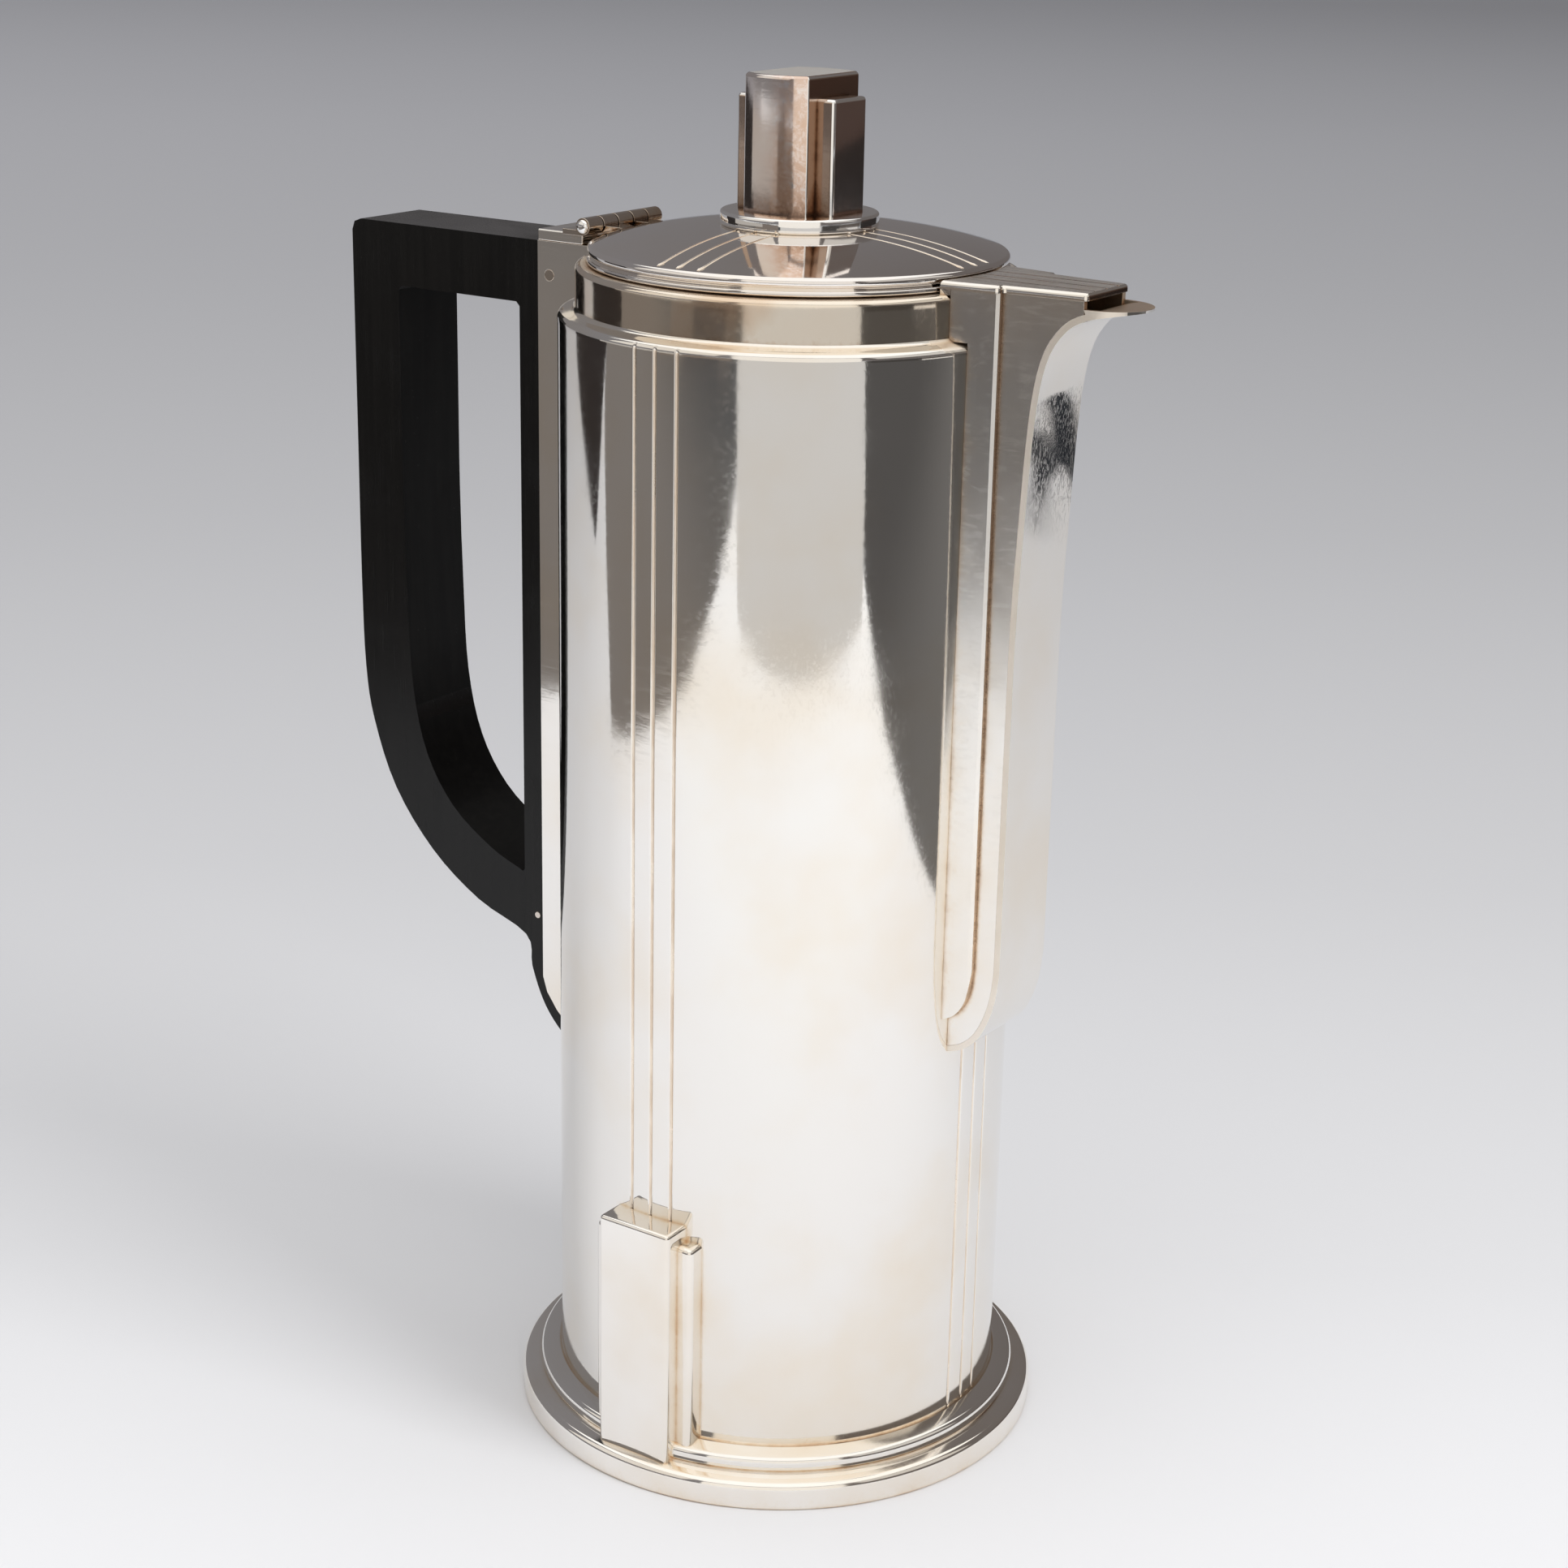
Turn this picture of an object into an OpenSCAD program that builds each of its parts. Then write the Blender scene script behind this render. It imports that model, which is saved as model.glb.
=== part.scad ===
// Silver coffee pot: cylindrical body on a stepped foot, layered spout, ebony loop handle,
// hinged domed lid with a block finial. Spout toward +X, handle toward -X, foot on Z = 0.

/* [Body] */
// outside radius of the straight body
body_r = 42.5; // [35:0.5:60]
// height of the shoulder where the body ends
shoulder_z = 212.3; // [120:0.5:260]
// sheet thickness of the body, collar and spout
wall = 1.2; // [0.8:0.1:2]
// radius of the narrower collar above the shoulder
collar_r = 39.4; // [30:0.1:56]
// height of the rounded top edge of the collar
collar_z = 220.5; // [130:0.1:270]
// clear radius of the mouth under the lid
mouth_r = 35.6; // [25:0.1:50]

/* [Foot] */
// radius of the bottom ring
foot_r = 50.2; // [40:0.1:70]
// height of the bottom ring
foot_h = 5.8; // [2:0.1:10]
// radius of the rounded ring above it
ring_r = 46.6; // [40:0.1:65]
// height of the top of the rounded ring
ring_z = 9.1; // [5:0.1:16]

/* [Engraved lines] */
// angle between neighbouring lines on the body
line_step = 5.9; // [3:0.1:9]
// width of a line
line_w = 0.8; // [0.3:0.1:1.5]
// depth of a line
line_d = 0.35; // [0.1:0.05:0.6]
// spacing of the lines on the lid
lid_line_gap = 4.1; // [2:0.1:7]

/* [Buttress] */
// width of the taller front plate
block_w = 15.6; // [8:0.1:24]
// distance of its face from the centre line
block_y = 47.8; // [45:0.1:52]
// height of its top
block_z = 52.2; // [30:0.1:90]
// width of the lower back plate
step_w = 21.6; // [14:0.1:34]
// distance of the back plate face from the centre line
step_y = 44.7; // [43:0.1:50]
// height of the top of the back plate
step_z = 49; // [30:0.5:90]

/* [Spout] */
// distance of the flat spout front from the centre line
spout_x = 51.3; // [46:0.1:60]
// half width of the spout where it leaves the side bars
spout_hw = 8.4; // [5:0.1:14]
// half width of the spout at the end of its cover
spout_end_hw = 7.2; // [4:0.1:12]
// distance of the cover end from the centre line
cover_x = 61.6; // [54:0.1:75]
// distance of the lip tip from the centre line
lip_x = 69.5; // [60:0.1:85]
// height of the lip edge
lip_z = 220.1; // [150:0.1:260]
// height of the top of the cover
cover_z = 222.8; // [150:0.1:265]
// distance of the front of the side bars from the centre line
bar_x = 46.4; // [43.5:0.1:52]
// half width over the side bars at their front
bar_hw = 9.8; // [6:0.1:16]
// height of the lower end of the side bars
bar_z = 90.5; // [50:0.5:180]

/* [Handle] */
// width of the handle and of its socket
handle_w = 17; // [10:0.1:26]
// distance of the outside of the grip from the centre line
grip_x = 97.2; // [75:0.5:120]
// radial thickness of the grip
grip_t = 11.4; // [7:0.1:18]
// height of the top of the handle
handle_z = 220.9; // [150:0.1:260]
// thickness of the upper arm
arm_t = 11.8; // [7:0.1:18]
// distance of the socket face from the centre line
socket_x = 51.9; // [46:0.1:60]
// thickness of the ebony strip on the socket face
strip_t = 4.4; // [2:0.1:8]

/* [Lid and hinge] */
// radius of the lid rim
lid_r = 37.3; // [28:0.1:52]
// height of the underside of the lid rim
lid_z = 220.8; // [130:0.1:280]
// rise of the dome above the rim
dome_h = 4.17; // [1:0.05:15]
// sheet thickness of the lid
lid_t = 1.1; // [0.8:0.1:2]
// distance of the hinge axis from the centre line
hinge_x = 39.5; // [37:0.1:48]
// height of the hinge axis
hinge_z = 224.7; // [130:0.1:280]
// radius of the hinge barrel
barrel_r = 1.55; // [1.3:0.05:2.5]
// length of the hinge barrel
barrel_l = 22; // [12:0.1:40]
// radius of the hinge pin
pin_r = 0.8; // [0.6:0.05:1.2]

/* [Finial] */
// radius of the disc under the finial
disc_r = 14; // [8:0.1:20]
// thickness of the disc
disc_t = 2.6; // [1:0.1:5]
// half length of the block toward the spout
core_hx = 6.6; // [4:0.05:10]
// half width of the block across the lid
core_hy = 9.6; // [4:0.05:14]
// total height of the pot
top_z = 254; // [160:0.5:320]
// reach of the side ribs from the finial axis
rib_x = 10.1; // [7:0.1:14]
// half width of a side rib
rib_hy = 5.2; // [2:0.1:8]
// height of the top of the side ribs
rib_z = 250; // [150:0.5:300]

/* [Hidden] */
rim_t = 2.87;
cover_t = 1.3;
rim_z = lid_z + rim_t;
disc_z = rim_z + dome_h * 0.94;
axis_n = [-hinge_x, 0, hinge_z];
knuckle_gap = 0.3;
knuckle_l = (barrel_l - 4 * knuckle_gap) / 5;
under_z = disc_z - lid_t;
washer_t = 0.8;
nut_h = 2.6;
stud_r = 1.5;
cap_z = handle_z + 2.1;
pin_up = [-49.2, 214.7];
pin_low = [-53.2, 88.2];

module silver() color([0.80, 0.79, 0.77]) children();
module silver_dark() color([0.70, 0.68, 0.65]) children();
module steel() color([0.62, 0.63, 0.65]) children();
module ebony() color([0.06, 0.055, 0.05]) children();

module ring(points) rotate_extrude($fn = 180) polygon(points);

// a plate drawn in side view (x, z) and spread over y0..y1
module side_plate(points, y0, y1)
  translate([0, y1, 0])
    rotate([90, 0, 0])
      linear_extrude(height = y1 - y0)
        polygon(points);

// a plate drawn in plan (x, y) between two heights
module plan_plate(points, z0, z1)
  translate([0, 0, z0])
    linear_extrude(height = z1 - z0)
      polygon(points);

// everything inside the outside skin of the body and collar
module body_core() {
  translate([0, 0, -1])
    cylinder(h = shoulder_z + 1.5, r = body_r, $fn = 180);
  cylinder(h = collar_z + 20, r = collar_r, $fn = 180);
}

function smooth(p, i, t) =
  let (
    n = len(p),
    a = p[max(i - 1, 0)],
    b = p[i],
    c = p[i + 1],
    d = p[min(i + 2, n - 1)]
  )
  0.5 * ((2 * b) + (c - a) * t + (2 * a - 5 * b + 4 * c - d) * t * t
    + (3 * b - a - 3 * c + d) * t * t * t);
function curve(p, k = 5) =
  [for (i = [0 : len(p) - 2]) for (j = [0 : k - 1]) smooth(p, i, j / k), p[len(p) - 1]];
function unit(v) = v / norm(v);
function inset(p, d) =
  [for (i = [0 : len(p) - 1])
    let (v = unit(p[min(i + 1, len(p) - 1)] - p[max(i - 1, 0)]))
    p[i] + d * [-v[1], v[0]]];
function flip(p) = [for (i = [len(p) - 1 : -1 : 0]) p[i]];

// three engraved lines down the body around direction a
module body_lines(a, z0, z1)
  for (i = [-1 : 1])
    rotate([0, 0, a + i * line_step])
      translate([body_r - line_d, -line_w / 2, z0])
        cube([line_d + 1, line_w, z1 - z0]);

module body_shell()
  silver()
    difference() {
      ring([
        [body_r - wall, foot_h], [body_r, foot_h], [body_r, shoulder_z - 0.8],
        [body_r - 0.25, shoulder_z - 0.3], [body_r - 0.8, shoulder_z],
        [collar_r, shoulder_z + 1], [collar_r - wall, shoulder_z + 1],
        [collar_r - wall, shoulder_z - 0.2], [body_r - wall, shoulder_z - 1.3]
      ]);
      body_lines(-90, block_z, shoulder_z - 1);
      body_lines(90, block_z, shoulder_z - 1);
      body_lines(0, ring_z + 0.8, 84);
      body_lines(180, ring_z + 0.8, 60.8);
      for (z = [100 : 11 : 199])
        for (y = [-5 : 5 : 5])
          translate([body_r - 6, y, z])
            rotate([0, 90, 0])
              cylinder(h = 12, r = 1.5, $fn = 32);
    }

module body_floor()
  silver()
    translate([0, 0, foot_h])
      cylinder(h = 1.4, r = body_r - wall, $fn = 180);

module foot_ring()
  silver()
    ring([
      [foot_r - 1.9, 0], [foot_r - 0.4, 0], [foot_r, 0.4], [foot_r, foot_h - 1.7],
      [foot_r - 0.12, foot_h - 1.1], [foot_r - 0.4, foot_h - 0.55], [foot_r - 0.9, foot_h - 0.18],
      [foot_r - 1.6, foot_h], [body_r - 2.5, foot_h], [body_r - 2.5, foot_h - 1.3],
      [foot_r - 1.9, foot_h - 1.3]
    ]);

module foot_moulding()
  silver()
    ring([
      [body_r, foot_h], [ring_r, foot_h], [ring_r, ring_z - 2.3], [ring_r - 0.25, ring_z - 1.4],
      [ring_r - 0.9, ring_z - 0.6], [ring_r - 1.9, ring_z - 0.1], [ring_r - 2.9, ring_z],
      [body_r, ring_z]
    ]);

module collar()
  silver()
    ring([
      [collar_r - wall, shoulder_z + 1], [collar_r, shoulder_z + 1],
      [collar_r, collar_z - 2], [collar_r - wall, collar_z - 2]
    ]);

module collar_rim()
  silver()
    ring([
      [mouth_r, collar_z - 1], [collar_r - wall, collar_z - 1], [collar_r - wall, collar_z - 2],
      [collar_r, collar_z - 2], [collar_r - 0.14, collar_z - 1.3], [collar_r - 0.56, collar_z - 0.6],
      [collar_r - 1.2, collar_z - 0.15], [collar_r - 1.9, collar_z], [mouth_r, collar_z]
    ]);

// one stepped ornament plate standing on the foot, face toward -Y
module standing_plate(w, face, z0, z1)
  difference() {
    hull() {
      for (s = [-1, 1]) {
        translate([s * (w / 2 - 1), -face + 1, z0])
          cylinder(h = z1 - z0 - 1, r = 1, $fn = 24);
        translate([s * (w / 2 - 1), -face + 1, z1 - 1])
          sphere(r = 1, $fn = 16);
        translate([s * (w / 2 - 1), -body_r + 8, z1 - 1])
          sphere(r = 1, $fn = 16);
        translate([s * (w / 2 - 1), -body_r + 8, z0])
          cylinder(h = 1, r = 1, $fn = 24);
      }
    }
    body_core();
  }

module front_plate()
  difference() {
    standing_plate(block_w, block_y, foot_h, block_z);
    standing_plate(step_w, step_y, foot_h - 1, step_z);
    cylinder(h = ring_z, r = ring_r, $fn = 180);
  }

module back_plate()
  standing_plate(step_w, step_y, ring_z, step_z);

module block_front()
  silver()
    front_plate();

module block_front_step()
  silver()
    back_plate();

module block_rear()
  silver()
    rotate([0, 0, 180])
      front_plate();

module block_rear_step()
  silver()
    rotate([0, 0, 180])
      back_plate();

// side view of the outside of the spout front, bottom to lip
spout_line = curve([
  [41, 83.7], [44.6, 84.9], [47.8, 87.9], [spout_x - 1.1, 93.4], [spout_x - 0.1, 99.5],
  [spout_x, 106], [spout_x, 140], [spout_x + 0.2, 165], [spout_x + 0.8, 182],
  [spout_x + 1.6, 197], [spout_x + 2.5, 206], [spout_x + 4.1, 212.2], [spout_x + 6.9, 216.3],
  [cover_x, 218.3], [lip_x - 3.4, 219.3], [lip_x, lip_z - 0.4]
], 3);
spout_in = inset(spout_line, wall - 0.1);

// half width of the spout at a distance from the centre line
function spout_half(x) =
  spout_hw - (x - bar_x) * (spout_hw - spout_end_hw) / (cover_x - bar_x);

module spout_plan(z0, z1, cut = 0)
  plan_plate(
    concat(
      [[30, -spout_half(30) + cut], [cover_x, -spout_end_hw + cut]],
      [for (a = [-80 : 10 : 80])
        [cover_x + (lip_x - cover_x - cut) * cos(a), (spout_end_hw - cut) * sin(a)]],
      [[cover_x, spout_end_hw - cut], [30, spout_half(30) - cut]]
    ),
    z0, z1
  );

module spout_front()
  silver()
    difference() {
      union() {
        intersection() {
          side_plate(concat(spout_line, flip(spout_in)), -20, 20);
          spout_plan(80, lip_z);
        }
        difference() {
          intersection() {
            side_plate(
              concat([for (p = spout_line) if (p[0] > cover_x - 0.6) p],
                [[lip_x, lip_z], [cover_x - 0.6, lip_z]]),
              -20, 20
            );
            spout_plan(200, lip_z);
          }
          spout_plan(200, lip_z + 1, 0.8);
        }
      }
      body_core();
    }

// one side wall of the spout, toward +Y
module spout_wall()
  difference() {
    intersection() {
      plan_plate(
        [
          [30, spout_half(30) - 1.1], [cover_x - 0.01, spout_end_hw - 1.1],
          [cover_x - 0.01, spout_end_hw], [30, spout_half(30)]
        ],
        80, cover_z - cover_t
      );
      side_plate(
        concat([[30, 84.9]], [for (p = spout_in) if (p[0] < cover_x - 0.8) p],
          [[cover_x - 0.6, 219.2], [cover_x - 0.6, cover_z], [30, cover_z]]),
        -20, 20
      );
    }
    body_core();
  }

module spout_side_left()
  silver()
    spout_wall();

module spout_side_right()
  silver()
    mirror([0, 1, 0])
      spout_wall();

// one raised bar beside the spout, toward +Y
module spout_bar()
  difference() {
    intersection() {
      plan_plate(
        [
          [30, spout_half(30)], [bar_x, spout_hw], [bar_x, bar_hw - 0.5], [bar_x - 0.5, bar_hw],
          [30, bar_hw + (bar_x - 30) * 0.14]
        ],
        80, cover_z - cover_t
      );
      side_plate(
        concat([[30, bar_z]],
          curve([[41, bar_z], [43.6, bar_z + 1.4], [45.6, bar_z + 4.8], [bar_x + 0.1, bar_z + 11]], 4),
          [[bar_x + 0.1, cover_z], [30, cover_z]]),
        -20, 20
      );
    }
    body_core();
  }

module spout_bar_left()
  silver()
    spout_bar();

module spout_bar_right()
  silver()
    mirror([0, 1, 0])
      spout_bar();

module cover_plate(z0)
  plan_plate(
    [
      [30, -12.15], [bar_x, -bar_hw], [bar_x, -spout_hw], [cover_x, -spout_end_hw],
      [cover_x, spout_end_hw], [bar_x, spout_hw], [bar_x, bar_hw], [30, 12.15]
    ],
    z0, cover_z
  );

module spout_cover()
  silver()
    difference() {
      union() {
        cover_plate(cover_z - cover_t);
        intersection() {
          cover_plate(collar_z);
          cylinder(h = 300, r = collar_r, $fn = 180);
        }
      }
      cylinder(h = 300, r = lid_r + 0.4, $fn = 180);
      for (y = [-lid_line_gap, 0, lid_line_gap])
        translate([30, y - line_w / 2, cover_z - 0.3])
          cube([40, line_w, 1]);
    }

// side view of the lower end of the socket, outside to body
socket_end = [[-socket_x, 75.5], [-50.9, 72.4], [-48.5, 69.1], [-44.4, 65.2], [-38, 60.6]];

module handle_socket()
  silver()
    difference() {
      union() {
        side_plate(
          concat([[-34, handle_z], [-socket_x, handle_z]], socket_end, [[-34, 60.6]]),
          -handle_w / 2, handle_w / 2
        );
        translate([-55, -4, 83.3])
          cube([5, 8, 9.5]);
      }
      body_core();
      side_plate(
        [
          [-34, handle_z - 1.3], [-socket_x + wall, handle_z - 1.3], [-socket_x + wall, 76],
          [-47.3, 70], [-34, 69]
        ],
        -handle_w / 2 + wall, handle_w / 2 - wall
      );
      translate([-socket_x - 1, -6.3, 211])
        cube([3, 12.6, 8]);
      translate([pin_up[0], 0, pin_up[1]])
        rotate([90, 0, 0])
          cylinder(h = handle_w + 2, r = 1.1, center = true, $fn = 32);
      translate([pin_low[0], 0, pin_low[1]])
        rotate([90, 0, 0])
          cylinder(h = handle_w + 2, r = 0.7, center = true, $fn = 32);
    }

module socket_cap()
  silver()
    difference() {
      translate([-socket_x, -handle_w / 2, handle_z])
        cube([socket_x - hinge_x - 2, handle_w, cap_z - handle_z]);
      translate([0, 0, handle_z - 1])
        cylinder(h = 10, r = collar_r, $fn = 180);
    }

grip_out = curve([
  [-grip_x, handle_z - 2.2], [-grip_x, 200], [-grip_x, 176], [-grip_x, 150], [-96.7, 132],
  [-94.8, 120.8], [-89.4, 107.5], [-79.9, 96.1], [-68.3, 88.2], [-56.1, 83.5], [-54.6, 77.1],
  [-52, 70.6], [-48.4, 65.8], [-42, 60.2]
], 4);
grip_in = curve([
  [-grip_x + grip_t, handle_z - arm_t - 0.8], [-grip_x + grip_t, 190],
  [-grip_x + grip_t, 168], [-grip_x + grip_t + 0.5, 147], [-84.3, 129.5],
  [-81, 116.4], [-74.5, 106.7], [-65.1, 100.1], [-57.6, 97.1]
], 4);

module handle()
  ebony()
    difference() {
      union() {
        side_plate(
          concat([[-socket_x, handle_z], [-grip_x + 2.2, handle_z], [-grip_x + 0.6, handle_z - 0.6]],
            grip_out, [[-38, 56.8], [-38, 60.6], [-44.4, 65.2], [-48.5, 69.1], [-50.9, 72.4],
            [-socket_x, 75.5]]),
          -handle_w / 2, handle_w / 2
        );
        translate([-socket_x, -6.3, 211])
          cube([5.2, 12.6, 8]);
      }
      side_plate(
        concat([[-grip_x + grip_t + 0.8, handle_z - arm_t]], grip_in,
          [[-socket_x - strip_t - 0.4, 96.7], [-socket_x - strip_t, 97.3],
          [-socket_x - strip_t, handle_z - arm_t - 0.8],
          [-socket_x - strip_t - 0.8, handle_z - arm_t]]),
        -handle_w, handle_w
      );
      translate([-55, -4, 83.3])
        cube([5, 8, 9.5]);
      translate([pin_up[0], 0, pin_up[1]])
        rotate([90, 0, 0])
          cylinder(h = handle_w + 2, r = 1.1, center = true, $fn = 32);
      translate([pin_low[0], 0, pin_low[1]])
        rotate([90, 0, 0])
          cylinder(h = handle_w + 2, r = 0.7, center = true, $fn = 32);
      body_core();
    }

module handle_pin_upper()
  silver_dark()
    translate([pin_up[0], 0, pin_up[1]])
      rotate([90, 0, 0])
        cylinder(h = handle_w, r = 1.1, center = true, $fn = 32);

module handle_pin_lower()
  silver_dark()
    translate([pin_low[0], 0, pin_low[1]])
      rotate([90, 0, 0])
        cylinder(h = handle_w, r = 0.7, center = true, $fn = 32);

// one hinge tube centred on y, n counts from the -Y end
function knuckle_y(n) = -barrel_l / 2 + knuckle_l / 2 + n * (knuckle_l + knuckle_gap);

module knuckle(n)
  translate([-hinge_x, knuckle_y(n), hinge_z])
    rotate([90, 0, 0])
      cylinder(h = knuckle_l, r = barrel_r, center = true, $fn = 48);

module hinge_bore(r)
  translate(axis_n)
    rotate([90, 0, 0])
      cylinder(h = barrel_l + 4, r = r, center = true, $fn = 48);

module hinge_pot_leaf()
  silver_dark()
    difference() {
      for (n = [0, 2, 4]) {
        knuckle(n);
        translate([-hinge_x - 4.6, knuckle_y(n) - knuckle_l / 2, cap_z])
          cube([4.6, knuckle_l, 1]);
      }
      hinge_bore(pin_r);
    }

module hinge_pin()
  steel()
    translate(axis_n)
      rotate([90, 0, 0]) {
        cylinder(h = barrel_l, r = pin_r, center = true, $fn = 48);
        for (s = [-1, 1])
          translate([0, 0, s * (barrel_l / 2 + 0.35)])
            cylinder(h = 0.7, r1 = s < 0 ? 0.9 : 1.25, r2 = s < 0 ? 1.25 : 0.9, center = true, $fn = 48);
      }

function dome(r) = rim_z + dome_h * min(0.94, 1 - pow(r / lid_r, 2.8));

// outside of the lid: bead, groove, rolled edge, then up and over to the middle
roll_r = 0.95;
lid_top = concat(
  [
    [lid_r - 0.2, lid_z], [lid_r, lid_z + 0.2], [lid_r, lid_z + 0.7], [lid_r - 0.2, lid_z + 0.9],
    [lid_r - 0.65, lid_z + 0.95], [lid_r - 0.65, lid_z + 1.3]
  ],
  [for (a = [-60 : 12 : 72])
    [lid_r - 0.1 - roll_r + roll_r * cos(a), rim_z - 0.67 + roll_r * sin(a)]],
  [for (r = [36, 35, 33.5, 31.5, 29, 26, 23, 20, 17, 14, 12, 0]) [r, dome(r)]]
);

module dome_band(drop, lift)
  ring(concat(
    [for (r = [0, 12, 14, 17, 20, 23, 26, 29, 31.5, 33.5, 35, 36.2, 37]) [r, dome(r) - drop]],
    [for (r = [37, 36.2, 35, 33.5, 31.5, 29, 26, 23, 20, 17, 14, 12, 0]) [r, dome(r) + lift]]
  ));

module lid_dome()
  silver()
    difference() {
      ring(concat(
        [for (r = [0, 12, 14, 17, 20, 23, 26, 29, 31.5, 33]) [r, dome(r) - lid_t]],
        [[33.4, lid_z + 0.8], [33.6, lid_z]],
        lid_top
      ));
      intersection() {
        dome_band(line_d, 1);
        for (a = [-90, 0, 90])
          for (i = [-1 : 1])
            rotate([0, 0, a])
              translate([disc_r + 1, i * lid_line_gap - line_w / 2, rim_z - 2])
                cube([sqrt(36.3 * 36.3 - i * i * lid_line_gap * lid_line_gap) - disc_r - 1, line_w, 8]);
      }
      translate([0, 0, under_z - 1])
        cylinder(h = 4, r = stud_r, $fn = 48);
    }

module lid_bezel()
  silver()
    ring([[33.9, lid_z - 3.6], [34.8, lid_z - 3.6], [34.8, lid_z], [33.9, lid_z]]);

module hinge_lid_leaf()
  silver_dark()
    difference() {
      for (n = [1, 3]) {
        knuckle(n);
        translate([-hinge_x, knuckle_y(n) - knuckle_l / 2, hinge_z - 1.5])
          cube([6, knuckle_l, 1.3]);
      }
      hinge_bore(pin_r + 0.05);
      ring(concat([[0, lid_z - 1], [lid_r - 0.2, lid_z - 1]], lid_top));
    }

module finial_disc()
  silver()
    difference() {
      ring([
        [0, disc_z], [disc_r - 0.3, disc_z], [disc_r, disc_z + 0.3], [disc_r, disc_z + disc_t - 0.5],
        [disc_r - 0.2, disc_z + disc_t - 0.1], [disc_r - 0.6, disc_z + disc_t], [0, disc_z + disc_t]
      ]);
      translate([0, 0, disc_z - 1])
        cylinder(h = disc_t + 2, r = stud_r, $fn = 48);
    }

module core_plan(d)
  intersection() {
    square([2 * (core_hx - d), 2 * core_hy], center = true);
    for (s = [-1, 1])
      translate([0, 0])
        square([2 * (core_hx - d), 2 * (core_hy - d)], center = true);
    translate([0, 13 - core_hy])
      circle(r = 13 - d, $fn = 96);
    translate([0, core_hy - 13])
      circle(r = 13 - d, $fn = 96);
  }

module finial_core()
  silver()
    difference() {
      hull() {
        translate([0, 0, disc_z + disc_t])
          linear_extrude(height = top_z - disc_z - disc_t - 0.9)
            core_plan(0);
        translate([0, 0, top_z - 1])
          linear_extrude(height = 0.6)
            core_plan(0.4);
        translate([0, 0, top_z - 1])
          linear_extrude(height = 1)
            core_plan(1.2);
      }
      translate([0, 0, disc_z])
        cylinder(h = disc_t + 7, r = stud_r, $fn = 48);
    }

// one upright rib on the finial, toward +X
module rib()
  hull() {
    for (s = [-1, 1]) {
      translate([rib_x - 0.8, s * (rib_hy - 0.8), disc_z + disc_t])
        cylinder(h = 1, r = 0.8, $fn = 24);
      translate([rib_x - 0.8, s * (rib_hy - 0.8), rib_z - 0.8])
        sphere(r = 0.8, $fn = 16);
    }
    translate([core_hx, -rib_hy, disc_z + disc_t])
      cube([0.2, 2 * rib_hy, rib_z - disc_z - disc_t]);
  }

module finial_rib_front()
  silver()
    rib();

module finial_rib_rear()
  silver()
    mirror([1, 0, 0])
      rib();

module finial_stud()
  steel()
    translate([0, 0, under_z - washer_t - nut_h - 1])
      cylinder(h = disc_z + disc_t + 6.8 - (under_z - washer_t - nut_h - 1), r = stud_r, $fn = 48);

module finial_washer()
  steel()
    translate([0, 0, under_z - washer_t])
      difference() {
        cylinder(h = washer_t, r = 5, $fn = 64);
        translate([0, 0, -1])
          cylinder(h = washer_t + 2, r = stud_r, $fn = 48);
      }

module finial_nut()
  steel()
    translate([0, 0, under_z - washer_t - nut_h])
      difference() {
        cylinder(h = nut_h, r = 3.4, $fn = 6);
        translate([0, 0, -1])
          cylinder(h = nut_h + 2, r = stud_r, $fn = 48);
      }

body_shell();
body_floor();
foot_ring();
foot_moulding();
collar();
collar_rim();
block_front();
block_front_step();
block_rear();
block_rear_step();
spout_front();
spout_side_right();
spout_side_left();
spout_bar_right();
spout_bar_left();
spout_cover();
handle_socket();
socket_cap();
handle();
handle_pin_upper();
handle_pin_lower();
hinge_pot_leaf();
hinge_pin();
lid_dome();
lid_bezel();
hinge_lid_leaf();
finial_disc();
finial_core();
finial_rib_front();
finial_rib_rear();
finial_stud();
finial_washer();
finial_nut();
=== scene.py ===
import math

import bmesh
import bpy
import numpy as np
from mathutils import Matrix, Vector
from mathutils.geometry import delaunay_2d_cdt


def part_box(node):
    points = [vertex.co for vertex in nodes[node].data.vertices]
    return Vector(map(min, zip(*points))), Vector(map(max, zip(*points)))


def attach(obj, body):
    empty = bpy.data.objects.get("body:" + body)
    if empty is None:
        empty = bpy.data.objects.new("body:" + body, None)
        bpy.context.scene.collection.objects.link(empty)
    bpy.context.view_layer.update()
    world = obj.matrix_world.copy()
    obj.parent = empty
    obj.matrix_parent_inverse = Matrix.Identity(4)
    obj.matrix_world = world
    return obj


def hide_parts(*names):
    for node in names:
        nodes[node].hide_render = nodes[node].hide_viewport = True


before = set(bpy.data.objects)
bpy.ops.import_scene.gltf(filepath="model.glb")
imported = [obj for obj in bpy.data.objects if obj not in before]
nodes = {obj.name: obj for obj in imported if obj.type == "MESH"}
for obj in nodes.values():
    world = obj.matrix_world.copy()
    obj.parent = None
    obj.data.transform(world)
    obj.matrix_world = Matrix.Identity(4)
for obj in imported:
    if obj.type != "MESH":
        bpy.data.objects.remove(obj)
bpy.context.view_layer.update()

MM = 0.001
scene = bpy.context.scene

# ---------------------------------------------------------------- sizes, from the CAD nodes
def top(node):
    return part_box(node)[1].z / MM


def bottom(node):
    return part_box(node)[0].z / MM


def radius(node):
    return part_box(node)[1].y / MM


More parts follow.
